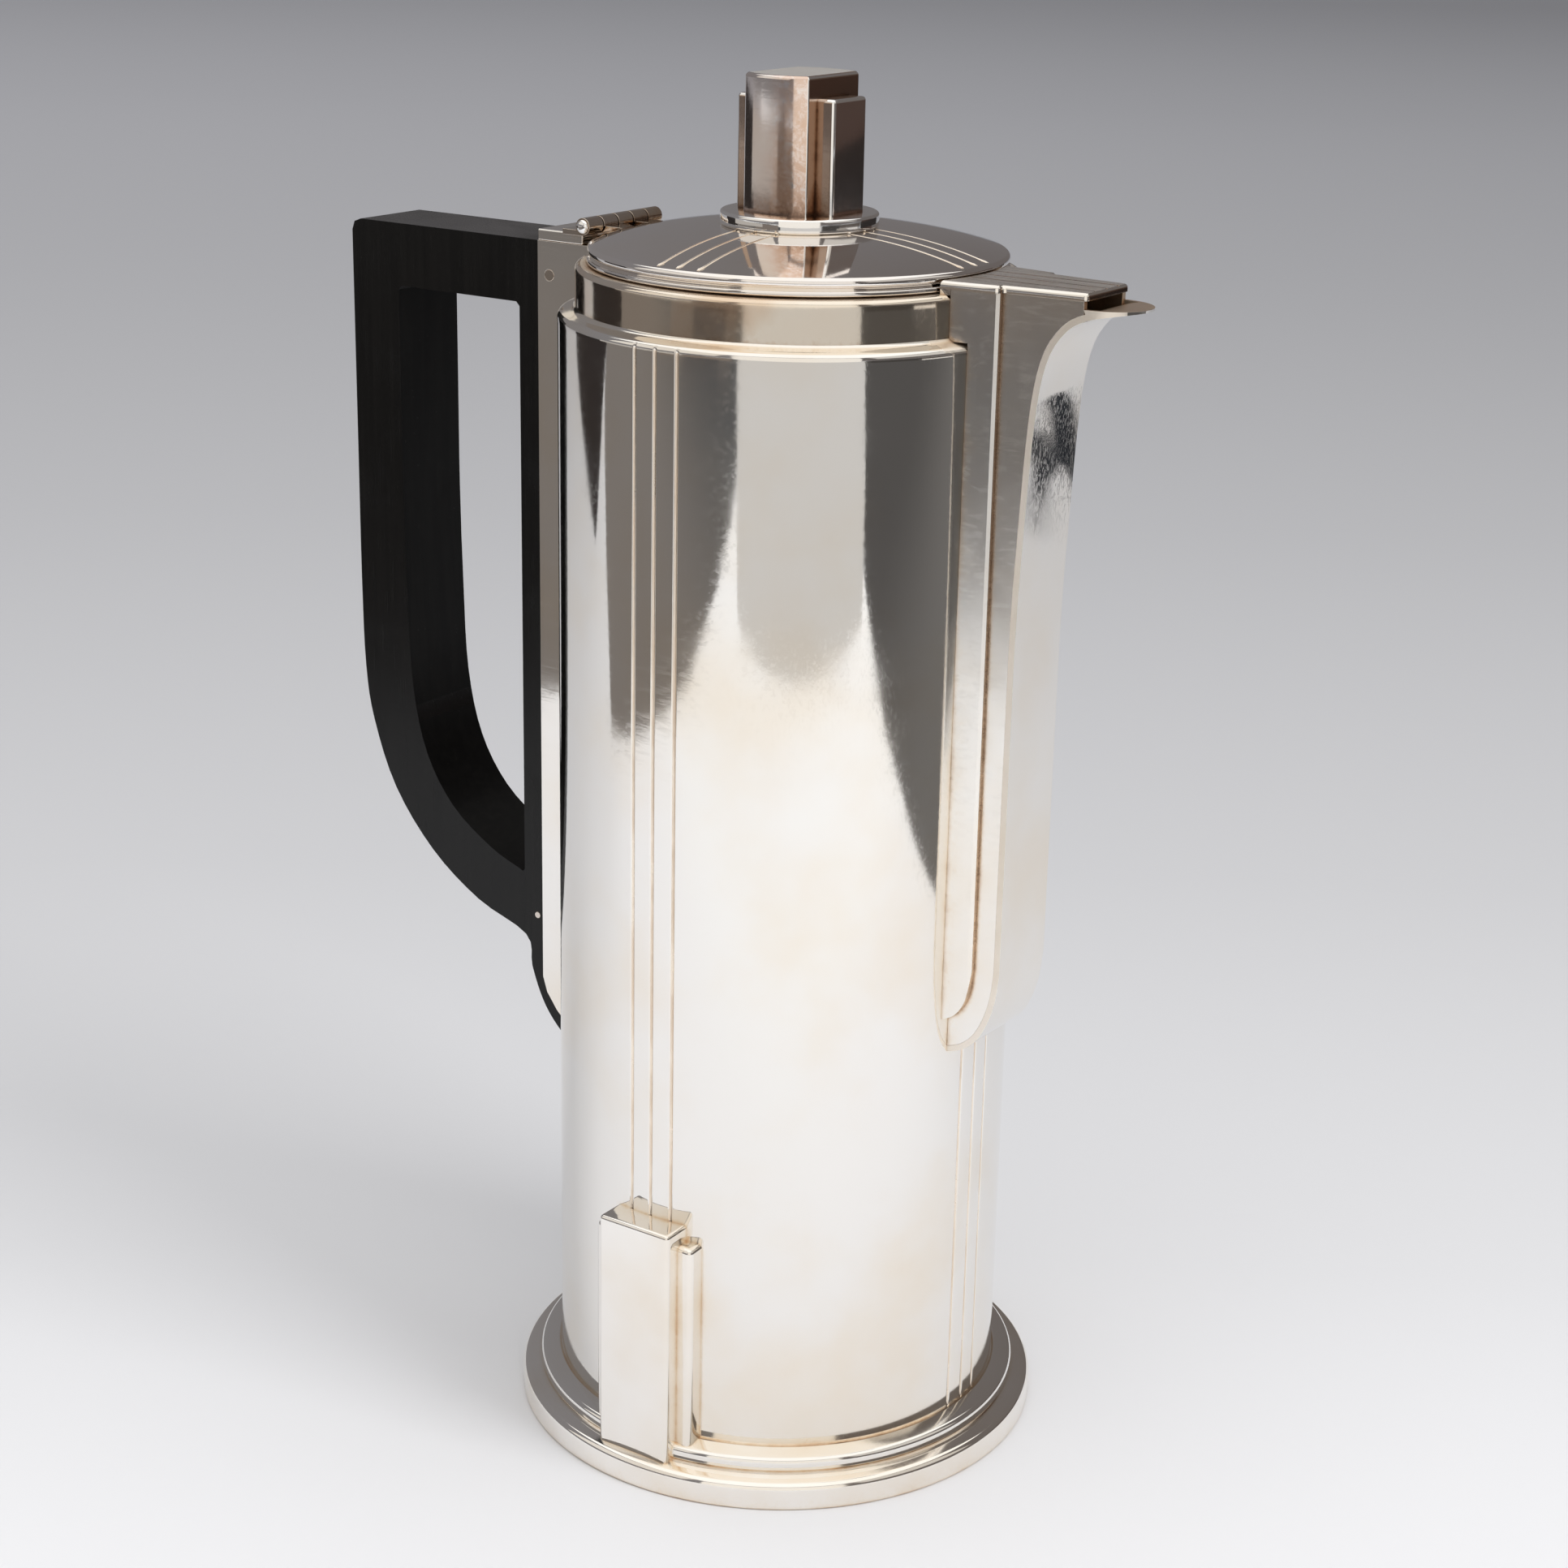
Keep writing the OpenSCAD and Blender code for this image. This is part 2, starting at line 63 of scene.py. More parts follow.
SHEET = 1.2
SHOULDER_RISE = 1.0
BODY_R = radius("body_shell")
COLLAR_R = radius("collar")
FOOT_R = radius("foot_ring")
FOOT_H = top("foot_ring")
RING_R = radius("foot_moulding")
RING_Z = top("foot_moulding")
SHOULDER_Z = top("body_shell") - SHOULDER_RISE
SEAT_Z = top("collar_rim")
MOUTH_R = 35.6
LID_R = radius("lid_dome")
LID_Z = bottom("lid_dome")
RIM_Z = LID_Z + 2.87
DISC_Z = bottom("finial_disc")
DISC_R = radius("finial_disc")
DISC_TOP = top("finial_disc")
DOME_H = (DISC_Z - RIM_Z) / 0.94
BLOCK_Z = top("block_front")
# the engraved lines: on the body, then on the lid
LINE_STEP = math.radians(5.9)
LINE_W = 0.72
LINE_D = 0.34
LINE_TOP_SPOUT = 86.0
LINE_TOP_HANDLE = 62.5
LID_GAP = 4.1
LID_LINE_W = 0.56
LID_LINE_D = 0.22
LID_LINE_END = 36.3
LID_SHEET = 1.1
STRAINER_R = 1.5


# ---------------------------------------------------------------- mesh helpers, all in millimetres
def linked(name, data):
    made = bpy.data.objects.new(name, data)
    scene.collection.objects.link(made)
    return made


def built(name, bm):
    """a new object from a bmesh"""
    mesh = bpy.data.meshes.new(name)
    bm.to_mesh(mesh)
    bm.free()
    return linked(name, mesh)


def make(name, verts, faces, angle=30.0):
    mesh = bpy.data.meshes.new(name)
    mesh.from_pydata([(x * MM, y * MM, z * MM) for x, y, z in verts], [], faces)
    mesh.validate()
    mesh.shade_smooth()
    mesh.set_sharp_from_angle(angle=math.radians(angle))
    return linked(name, mesh)


def fillet(points, steps=5):
    """points (x, z, radius) of a closed outline, each corner rounded by its radius"""
    out = []
    n = len(points)
    for i, (x, z, r) in enumerate(points):
        p = np.array([x, z])
        a = np.array(points[i - 1][:2]) - p
        b = np.array(points[(i + 1) % n][:2]) - p
        la, lb = np.linalg.norm(a), np.linalg.norm(b)
        a, b = a / la, b / lb
        half = math.acos(max(-1, min(1, float(a @ b)))) / 2
        if r <= 0 or half > math.radians(88):
            out.append((x, z))
            continue
        cut = min(r / math.tan(half), 0.48 * la, 0.48 * lb)
        r = cut * math.tan(half)
        middle = (a + b) / np.linalg.norm(a + b)
        c = p + middle * r / math.sin(half)
        s, e = p + a * cut - c, p + b * cut - c
        turn = math.pi - 2 * half
        for k in range(steps + 1):
            t = k / steps
            v = (s * math.sin((1 - t) * turn) + e * math.sin(t * turn)) / math.sin(turn)
            out.append(tuple(c + v))
    return out


def wrapped(rows, n):
    """the faces of a skin over rows of n points, closed both ways"""
    faces = []
    for k in range(rows):
        m = (k + 1) % rows
        for i in range(n):
            j = (i + 1) % n
            faces.append((k * n + i, m * n + i, m * n + j, k * n + j))
    return faces


def revolve(name, outline, steps=224, angle=28.0):
    verts = []
    for k in range(steps):
        a = 2 * math.pi * k / steps
        verts += [(r * math.cos(a), r * math.sin(a), z) for r, z in outline]
    piece = make(name, verts, wrapped(steps, len(outline)), angle)
    outward(piece)
    return piece


def outward(piece):
    """turns every face outward"""
    bm = bmesh.new()
    bm.from_mesh(piece.data)
    bmesh.ops.recalc_face_normals(bm, faces=bm.faces)
    if bm.calc_volume(signed=True) < 0:
        bmesh.ops.reverse_faces(bm, faces=bm.faces)
    bm.to_mesh(piece.data)
    bm.free()


def polished(node, width):
    """a copy of a CAD node with its hard edges eased by width"""
    hard = math.radians(28.0)
    mesh = nodes[node].data.copy()
    mesh.materials.clear()
    piece = linked(node + "_polished", mesh)
    bm = bmesh.new()
    bm.from_mesh(mesh)
    for layer in list(bm.loops.layers.uv):
        bm.loops.layers.uv.remove(layer)
    bmesh.ops.remove_doubles(bm, verts=bm.verts, dist=2e-6)
    bmesh.ops.dissolve_limit(
        bm, angle_limit=math.radians(0.6), verts=bm.verts, edges=bm.edges, delimit=set()
    )
    bm.to_mesh(mesh)
    bm.free()
    if mesh.has_custom_normals:
        mesh.attributes.remove(mesh.attributes["custom_normal"])
    mesh.shade_smooth()
    mesh.set_sharp_from_angle(angle=hard)
    bevel = piece.modifiers.new("eased", "BEVEL")
    bevel.width = width * MM
    bevel.segments = 3
    bevel.limit_method = "ANGLE"
    bevel.angle_limit = hard
    bevel.harden_normals = True
    bevel.miter_outer = "MITER_ARC"
    return piece


# ---------------------------------------------------------------- materials
class Graph:
    """a material and short names for the nodes it is built from"""

    def __init__(self, name, metallic=0.0):
        self.material = bpy.data.materials.new(name)
        self.material.use_nodes = True
        self.tree = self.material.node_tree
        self.shader = self.tree.nodes["Principled BSDF"]
        self.shader.inputs["Metallic"].default_value = metallic
        self.place = self.node("ShaderNodeTexCoord").outputs["Object"]

    def node(self, kind, **values):
        made = self.tree.nodes.new(kind)
        for key, value in values.items():
            setattr(made, key, value)
        return made

    def link(self, a, b):
        self.tree.links.new(a, b)

    def feed(self, socket, value):
        if isinstance(value, bpy.types.NodeSocket):
            self.link(value, socket)
        elif value is not None:
            socket.default_value = value

    def noise(self, scale, detail=2.0, rough=0.5, distortion=0.0, vector=None):
        made = self.node("ShaderNodeTexNoise")
        made.inputs["Scale"].default_value = scale
        made.inputs["Detail"].default_value = detail
        made.inputs["Roughness"].default_value = rough
        made.inputs["Distortion"].default_value = distortion
        self.link(vector or self.place, made.inputs["Vector"])
        return made.outputs["Fac"]

    def stretch(self, x, y, z):
        made = self.node("ShaderNodeMapping")
        made.inputs["Scale"].default_value = (x, y, z)
        self.link(self.place, made.inputs["Vector"])
        return made.outputs["Vector"]

    def turned(self, angles, scale):
        made = self.node("ShaderNodeMapping")
        made.inputs["Rotation"].default_value = angles
        made.inputs["Scale"].default_value = scale
        self.link(self.place, made.inputs["Vector"])
        return made.outputs["Vector"]

    def ramp(self, value, low, high, a=0.0, b=1.0):
        made = self.node("ShaderNodeMapRange")
        made.interpolation_type = "SMOOTHSTEP"
        made.inputs["From Min"].default_value = low
        made.inputs["From Max"].default_value = high
        made.inputs["To Min"].default_value = a
        made.inputs["To Max"].default_value = b
        self.link(value, made.inputs["Value"])
        return made.outputs["Result"]

    def math(self, operation, a, b=None):
        made = self.node("ShaderNodeMath", operation=operation)
        self.feed(made.inputs[0], a)
        self.feed(made.inputs[1], b)
        return made.outputs[0]

    def mix(self, factor, a, b):
        made = self.node("ShaderNodeMix", data_type="RGBA")
        self.feed(made.inputs["Factor"], factor)
        self.feed(made.inputs["A"], a)
        self.feed(made.inputs["B"], b)
        return made.outputs["Result"]

    def crevice(self, distance, sharp):
        made = self.node("ShaderNodeAmbientOcclusion", samples=6)
        made.inputs["Distance"].default_value = distance
        return self.ramp(made.outputs["AO"], sharp, 1.0, 1.0, 0.0)

    def bump(self, parts):
        normal = None
        for height, strength, distance in parts:
            made = self.node("ShaderNodeBump")
            made.inputs["Strength"].default_value = strength
            made.inputs["Distance"].default_value = distance
            self.link(height, made.inputs["Height"])
            if normal is not None:
                self.link(normal, made.inputs["Normal"])
            normal = made.outputs["Normal"]
        self.link(normal, self.shader.inputs["Normal"])


def silver(name, tarnish=1.0, rough=0.045, wave=1.0, film=0.25, bright=(0.90, 0.878, 0.845, 1),
           shade=(1, 1, 1), stain=0.0):
    g = Graph(name, metallic=1.0)
    # tarnish gathers in the seams and spreads from them in broken patches
    seam = g.crevice(0.0011, 0.30)
    wide = g.crevice(0.005, 0.40)
    patch = g.ramp(g.noise(110, 5, 0.62), 0.36, 0.68)
    speckle = g.ramp(g.noise(1400, 3, 0.6), 0.50, 0.64)
    broken = g.math("ADD", g.math("MULTIPLY", patch, 0.7), g.math("MULTIPLY", speckle, 0.3))
    spread = g.math("MULTIPLY", g.math("MULTIPLY", wide, broken), 0.50)
    amount = g.math("ADD", g.math("MULTIPLY", seam, 0.60), spread)
    cloud = g.ramp(g.noise(22, 4, 0.55), 0.40, 0.75)
    amount = g.math("ADD", g.math("MULTIPLY", amount, tarnish), g.math("MULTIPLY", cloud, film))
    if stain:
        across = g.node("ShaderNodeSeparateXYZ")
        g.link(g.place, across.inputs[0])
        blotch = g.ramp(g.noise(480, 6, 0.7, 0.4), 0.30, 0.58)
        stained = g.math("MULTIPLY", g.ramp(across.outputs["X"], -0.0015, 0.0035), blotch)
        stained = g.math("MULTIPLY", stained, g.ramp(across.outputs["X"], 0.0067, 0.0072, 1.0, 0.0))
        amount = g.math("ADD", amount, g.math("MULTIPLY", stained, stain))
    tint = g.node("ShaderNodeValToRGB")
    tint.color_ramp.elements[0].color = bright
    tint.color_ramp.elements[1].color = (*(c * k for c, k in zip((0.20, 0.14, 0.10), shade)), 1)
    for stop, colour in (
        (0.25, (0.87, 0.79, 0.68)),
        (0.5, (0.74, 0.56, 0.40)),
        (0.75, (0.45, 0.31, 0.21)),
    ):
        tint.color_ramp.elements.new(stop).color = (*(c * k for c, k in zip(colour, shade)), 1)
    g.link(amount, tint.inputs[0])
    g.link(tint.outputs[0], g.shader.inputs["Base Color"])
    # hairline scratches in three directions, smudges from handling
    hair = [
        g.ramp(g.noise(1.0, 2, 0.5, 0.15, g.turned((0.0, 0.0, a), (60, 2600, 900))), 0.57, 0.70)
        for a in (0.35, 1.25, 2.3)
    ]
    fine = g.math("MAXIMUM", g.math("MAXIMUM", hair[0], hair[1]), hair[2])
    smudge = g.ramp(g.noise(38, 5, 0.6, 0.6), 0.45, 0.7)
    r = g.math("ADD", g.math("MULTIPLY", fine, 0.03), g.math("MULTIPLY", smudge, 0.045))
    r = g.math("ADD", r, g.math("MULTIPLY", amount, 0.12))
    g.link(g.math("ADD", r, rough), g.shader.inputs["Roughness"])
    g.bump([
        (g.noise(34, 2, 0.45), 0.30 * wave, 0.00016),
        (g.noise(150, 3, 0.5), 0.20 * wave, 0.00004),
        (fine, 0.04, 0.00001),
        (g.noise(2600, 2, 0.5), 0.04, 0.00001),
    ])
    return g.material


def brushed_silver(name):
    """a flat face rubbed with fine paper along X"""
    g = Graph(name, metallic=1.0)
    rubbed = g.noise(1.0, 3, 0.65, 0.1, g.stretch(60, 5200, 900))
    film = g.ramp(g.noise(90, 4, 0.6, 0.4), 0.35, 0.7)
    seam = g.crevice(0.002, 0.4)
    base = g.mix(film, (0.95, 0.92, 0.88, 1), (0.87, 0.81, 0.74, 1))
    base = g.mix(g.math("MULTIPLY", g.ramp(rubbed, 0.45, 0.7), 0.30), base, (0.62, 0.56, 0.50, 1))
    base = g.mix(g.math("MULTIPLY", seam, 0.85), base, (0.30, 0.21, 0.15, 1))
    g.link(base, g.shader.inputs["Base Color"])
    g.link(g.ramp(rubbed, 0.3, 0.7, 0.24, 0.38), g.shader.inputs["Roughness"])
    g.bump([(rubbed, 0.16, 0.00002), (g.noise(120, 3, 0.5), 0.15, 0.00004)])
    return g.material


def browned(name):
    """silver stained gold low down and brown higher up"""
    g = Graph(name, metallic=1.0)
    split = g.node("ShaderNodeSeparateXYZ")
    g.link(g.place, split.inputs[0])
    broken = g.ramp(g.noise(300, 5, 0.65), 0.30, 0.70)
    level = g.math("ADD", g.ramp(split.outputs["Z"], 0.10, 0.20), g.math("MULTIPLY", broken, 0.3))
    g.link(g.mix(level, (0.82, 0.67, 0.53, 1), (0.24, 0.18, 0.14, 1)), g.shader.inputs["Base Color"])
    g.link(g.ramp(broken, 0.0, 1.0, 0.18, 0.32), g.shader.inputs["Roughness"])
    g.bump([(g.noise(900, 3, 0.5), 0.1, 0.00002)])
    return g.material


def engraved(name):
    """the warm, dull bottom of an engraved line"""
    g = Graph(name, metallic=1.0)
    broken = g.ramp(g.noise(90, 3, 0.6), 0.30, 0.70)
    g.link(g.mix(broken, (0.90, 0.80, 0.68, 1), (0.80, 0.67, 0.54, 1)), g.shader.inputs["Base Color"])
    g.link(g.ramp(broken, 0.0, 1.0, 0.26, 0.42), g.shader.inputs["Roughness"])
    g.bump([(g.noise(3000, 2, 0.5), 0.1, 0.00001)])
    return g.material


def steel(name):
    g = Graph(name, metallic=1.0)
    brushed = g.noise(1.0, 3, 0.6, 0.0, g.stretch(3000, 3000, 200))
    g.link(g.mix(brushed, (0.42, 0.42, 0.43, 1), (0.62, 0.62, 0.62, 1)), g.shader.inputs["Base Color"])
    g.link(g.ramp(brushed, 0.2, 0.8, 0.22, 0.42), g.shader.inputs["Roughness"])
    g.bump([(brushed, 0.1, 0.00002)])
    return g.material


def ebony(name, specular, rough):
    """near black wood with an upright grain"""
    g = Graph(name)
    grain = g.noise(1.0, 4, 0.6, 0.4, g.stretch(900, 420, 26))
    pore = g.ramp(g.noise(1.0, 2, 0.5, 0.2, g.stretch(2600, 2200, 90)), 0.60, 0.72)
    dust = g.ramp(g.noise(1300, 2, 0.5), 0.72, 0.78)
    wear = g.ramp(g.noise(55, 4, 0.6, 0.5), 0.45, 0.75)
    base = g.mix(g.ramp(grain, 0.35, 0.7), (0.0018, 0.0017, 0.0016, 1), (0.0042, 0.0038, 0.0034, 1))
    base = g.mix(g.math("MULTIPLY", dust, 0.30), base, (0.05, 0.048, 0.045, 1))
    g.link(base, g.shader.inputs["Base Color"])
    r = g.math("ADD", g.math("MULTIPLY", wear, 0.08), g.math("MULTIPLY", pore, 0.06))
    g.link(g.math("ADD", r, rough), g.shader.inputs["Roughness"])
    g.shader.inputs["Specular IOR Level"].default_value = specular
    g.bump([(grain, 0.08, 0.00002), (pore, 0.06, 0.00001), (g.noise(60, 3, 0.5), 0.10, 0.00008)])
    return g.material


SILVER = silver("silver_polished", tarnish=0.5)
SILVER_SPOUT = silver("silver_spout", tarnish=0.9, rough=0.022, wave=0.22, film=0.20)
SILVER_SIDE = silver("silver_spout_side", tarnish=1.3, rough=0.15, wave=0.7, film=0.22)
SILVER_COLLAR = silver("silver_collar", tarnish=1.0, rough=0.05, wave=1.1, film=0.5,
                       bright=(0.88, 0.775, 0.655, 1))
SILVER_FOOT = silver("silver_foot", tarnish=0.42, rough=0.05, wave=0.8, film=0.26,
                     bright=(0.94, 0.91, 0.87, 1))
SILVER_MOULDING = silver("silver_moulding", tarnish=0.14, rough=0.045, wave=0.8, film=0.10)
SILVER_LID = silver("silver_lid", tarnish=0.12, rough=0.04, wave=0.6, film=0.12,
                    bright=(0.88, 0.85, 0.84, 1))
SILVER_FINIAL = silver("silver_finial", tarnish=1.5, rough=0.06, wave=1.1, film=0.40, stain=0.36,
                       bright=(0.86, 0.82, 0.79, 1), shade=(0.93, 0.86, 0.90))
SILVER_HINGE = silver("silver_hinge", tarnish=1.6, rough=0.04, wave=0.4, film=0.5,
                      bright=(0.68, 0.61, 0.55, 1), shade=(0.75, 0.72, 0.70))
SILVER_PIN = silver("silver_pin", tarnish=0.12, rough=0.03, wave=0.2, film=0.08,
                    bright=(0.92, 0.91, 0.90, 1))
COPPERED = silver("silver_brown_tarnish", tarnish=1.4, rough=0.10, film=0.5,
                  bright=(0.50, 0.37, 0.29, 1), shade=(0.55, 0.47, 0.44))
BROWNED = browned("silver_dark_strip")
TANNED = silver("silver_tan_edge", tarnish=0.6, rough=0.38, film=0.4,
                bright=(0.95, 0.88, 0.80, 1))
SATIN = silver("silver_satin", tarnish=0.1, rough=0.46, film=0.1,
               bright=(0.86, 0.85, 0.83, 1))
INNER = silver("silver_inside", tarnish=0.8, rough=0.33, film=0.5,
               bright=(0.74, 0.59, 0.46, 1), shade=(0.80, 0.70, 0.62))
SILVER_COVER = brushed_silver("silver_brushed")
LINE = engraved("silver_engraved")
STEEL = steel("steel_satin")
EBONY = ebony("ebony_satin", 0.27, 0.22)
EBONY_INNER = ebony("ebony_matt", 0.10, 0.40)


def place(piece, material, body, slot, *replaced, others=(), chosen=None):
    """chosen(middle of a face, its normal) gives the number of the material the face takes"""
    piece.data.materials.clear()
    piece.data.materials.append(material)
    for other in others:
        piece.data.materials.append(other)
    if others:
        for face in piece.data.polygons:
            face.material_index = int(chosen(face.center / MM, face.normal))
    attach(piece, body)
    if replaced:
        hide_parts(*replaced)
    return piece


# ---------------------------------------------------------------- body with engraved lines
def groove(s):
    """depth of an engraved line at s half widths from its middle"""
    return LINE_D * max(0.0, 1 - s * s) ** 0.8


def apart(a, b):
    """the angle between two directions"""
    return abs((a - b + math.pi) % (2 * math.pi) - math.pi)


def body():
    """the tube with its shoulder, three engraved lines on each quarter, and the strainer holes"""
    lines = []
    for middle, low, high in (
        (-90, BLOCK_Z - 1, SHOULDER_Z - 0.6),
        (90, BLOCK_Z - 1, SHOULDER_Z - 0.6),
        (0, RING_Z + 0.5, LINE_TOP_SPOUT),
        (180, RING_Z + 0.5, LINE_TOP_HANDLE),
    ):
        for i in (-1, 0, 1):
            lines.append((math.radians(middle) + i * LINE_STEP, low, high))
    # even steps round the body, and closer ones across each line
    angles = [2 * math.pi * k / 240 for k in range(240)]
    offsets = [-0.75, -0.55, -0.42, -0.30, -0.16, 0, 0.16, 0.30, 0.42, 0.55, 0.75]
    near = 1.15 / BODY_R
    angles = [a for a in angles if all(apart(a, c) > near for c, _, _ in lines)]
    angles += [(c + o / BODY_R) % (2 * math.pi) for c, _, _ in lines for o in offsets]
    angles.sort()
    outer = [
        (BODY_R, FOOT_H), (BODY_R, RING_Z + 0.4), (BODY_R, RING_Z + 1.0), (BODY_R, 30),
        (BODY_R, BLOCK_Z - 1.2), (BODY_R, BLOCK_Z - 0.6),
        (BODY_R, LINE_TOP_HANDLE + 1.1), (BODY_R, LINE_TOP_HANDLE + 2.1),
        (BODY_R, LINE_TOP_SPOUT - 1.0), (BODY_R, LINE_TOP_SPOUT + 0.2),
        (BODY_R, 120), (BODY_R, 160), (BODY_R, SHOULDER_Z - 1.6),
        (BODY_R, SHOULDER_Z - 1.1), (BODY_R - 0.05, SHOULDER_Z - 0.75),
        (BODY_R - 0.18, SHOULDER_Z - 0.45), (BODY_R - 0.42, SHOULDER_Z - 0.2),
        (BODY_R - 0.75, SHOULDER_Z - 0.05), (BODY_R - 1.3, SHOULDER_Z + 0.1),
        (COLLAR_R + 0.9, SHOULDER_Z + 0.32), (COLLAR_R + 0.35, SHOULDER_Z + 0.55),
        (COLLAR_R + 0.08, SHOULDER_Z + 0.8), (COLLAR_R, SHOULDER_Z + 1.0),
    ]
    inner = [
        (COLLAR_R - SHEET, SHOULDER_Z + 1.0), (COLLAR_R - SHEET, SHOULDER_Z - 0.2),
        (BODY_R - SHEET, SHOULDER_Z - 1.3), (BODY_R - SHEET, 100), (BODY_R - SHEET, FOOT_H),
    ]
    outline = outer + inner
    verts = []
    for a in angles:
        for k, (r, z) in enumerate(outline):
            if k < len(outer) and r > BODY_R - 0.3:
                for c, low, high in lines:
                    s = apart(a, c) * BODY_R / (LINE_W / 2)
                    if s < 1:
                        start = min(1.0, max(0.0, (z - low) / 0.6))
                        end = min(1.0, max(0.0, (high - z) / 0.5))
                        r = r - groove(s) * start * end
            verts.append((r * math.cos(a), r * math.sin(a), z))
    piece = make("body_tube", verts, wrapped(len(angles), len(outline)), 50)
    outward(piece)
    holes = strainer_holes()
    carve(piece, holes)
    bpy.data.objects.remove(holes)
    return piece


def strainer_holes():
    """the holes that lead into the spout, as rods along X"""
    across_wall = Matrix.Rotation(math.pi / 2, 4, "Y")
    bm = bmesh.new()
    for z in range(100, 200, 11):
        for y in (-5, 0, 5):
            bmesh.ops.create_cone(
                bm, cap_ends=True, segments=28, radius1=STRAINER_R * MM, radius2=STRAINER_R * MM,
                depth=12 * MM, matrix=Matrix.Translation((BODY_R * MM, y * MM, z * MM)) @ across_wall,
            )
    return built("strainer_cut", bm)


def carve(piece, *tools):
    for tool in tools:
        cut = piece.modifiers.new("cut", "BOOLEAN")
        cut.object = tool
        cut.solver = "EXACT"
    settle(piece)


def settle(piece):
    """applies the modifiers"""
    graph = bpy.context.evaluated_depsgraph_get()
    done = bpy.data.meshes.new_from_object(piece.evaluated_get(graph))
    piece.modifiers.clear()
    piece.data = done


def body_part(middle, normal):
    """1 in the engraved lines, 2 inside the pot, 3 in the corners beside the spout"""
    r = math.hypot(middle.x, middle.y)
    if middle.x * normal.x + middle.y * normal.y < 0 and r < BODY_R - 0.9:
        return 2
    if middle.z > SHOULDER_Z - 0.4 and middle.x > 0 and abs(middle.y) < 15:
        return 3
    return int(BODY_R - LINE_D - 0.02 < r < BODY_R - 0.07 and RING_Z < middle.z < SHOULDER_Z - 1.1)


place(body(), SILVER, "pot", "silver", "body_shell", others=(LINE, INNER, TANNED), chosen=body_part)

place(
    revolve("foot_ring_turned", fillet([
        (FOOT_R - 1.9, 0, 0.3), (FOOT_R, 0, 0.5), (FOOT_R, FOOT_H - 0.72, 1.5),
        (RING_R - 0.3, FOOT_H, 0.2), (BODY_R - 2.5, FOOT_H, 0),
        (BODY_R - 2.5, FOOT_H - 1.3, 0), (FOOT_R - 1.9, FOOT_H - 1.3, 0.4),
    ], 8)),
    SILVER_FOOT, "pot", "silver", "foot_ring",
)
moulding = place(
    revolve("foot_moulding_turned", fillet([
        (BODY_R - 0.1, FOOT_H, 0), (RING_R - 0.35, FOOT_H, 0), (RING_R, FOOT_H + 0.5, 0.2),
        (RING_R, RING_Z - 0.72, 1.35), (BODY_R + 0.55, RING_Z, 0.3), (BODY_R + 0.15, RING_Z - 0.25, 0.15),
        (BODY_R - 0.1, RING_Z - 0.25, 0),
    ], 8)),
    SILVER_MOULDING, "pot", "silver", "foot_moulding",
)
place(
    revolve("collar_turned", fillet([
        (COLLAR_R - SHEET, SHOULDER_Z + 0.6, 0), (COLLAR_R, SHOULDER_Z + 0.6, 0),
        (COLLAR_R, SEAT_Z - 2, 0), (COLLAR_R - SHEET, SEAT_Z - 2, 0),
    ])),
    SILVER_COLLAR, "pot", "silver", "collar",
)


def mouth_part(middle, normal):
    """1 on the part of the rim that the lid covers"""
    return math.hypot(middle.x, middle.y) < COLLAR_R - 2.0


place(
    revolve("collar_rim_turned", fillet([
        (MOUTH_R, SEAT_Z - 1, 0.2), (COLLAR_R - SHEET, SEAT_Z - 1, 0), (COLLAR_R - SHEET, SEAT_Z - 2, 0),
        (COLLAR_R, SEAT_Z - 2, 0), (COLLAR_R, SEAT_Z, 1.9), (MOUTH_R, SEAT_Z, 0.3),
    ], 10)),
    SILVER_COLLAR, "pot", "silver", "collar_rim", others=(TANNED,), chosen=mouth_part,
)


# ---------------------------------------------------------------- lid with engraved lines
def dome(r):
    """height of the lid's face at r from its middle"""
    return RIM_Z + DOME_H * min(0.94, 1 - (r / LID_R) ** 2.8)


def slope(r):
    return 0.0 if dome(r) >= RIM_Z + DOME_H * 0.9399 else -DOME_H * 2.8 * r ** 1.8 / LID_R ** 2.8


# direction, distance to its side, start and end of each line
LID_LINES = [
    (math.radians(turn), i * LID_GAP, DISC_R - 0.6, math.sqrt(LID_LINE_END ** 2 - (i * LID_GAP) ** 2))
    for turn in (-90, 0, 90) for i in (-1, 0, 1)
]


def local(x, y, a):
    """a point along and across the direction a"""
    return x * math.cos(a) + y * math.sin(a), -x * math.sin(a) + y * math.cos(a)


def swelling(u, far):
    """how much wider a line is near its outer end, a small drop shape"""
    return 1 + 0.9 * math.exp(-(((u - far + 0.7) / 0.75) ** 2))


def depth(x, y):
    """depth of the engraving at a point of the lid"""
    worst = 0.0
    for a, side, start, far in LID_LINES:
        u, v = local(x, y, a)
        w = LID_LINE_W / 2 * swelling(u, far)
        u0 = max(0.0, u - (far - w), (start - u))
        s = math.hypot((v - side) / w, u0 / w)
        if s < 1:
            worst = max(worst, LID_LINE_D * (1 - s * s) ** 0.8)
    return worst


LID_EDGE_R = LID_R - 0.77


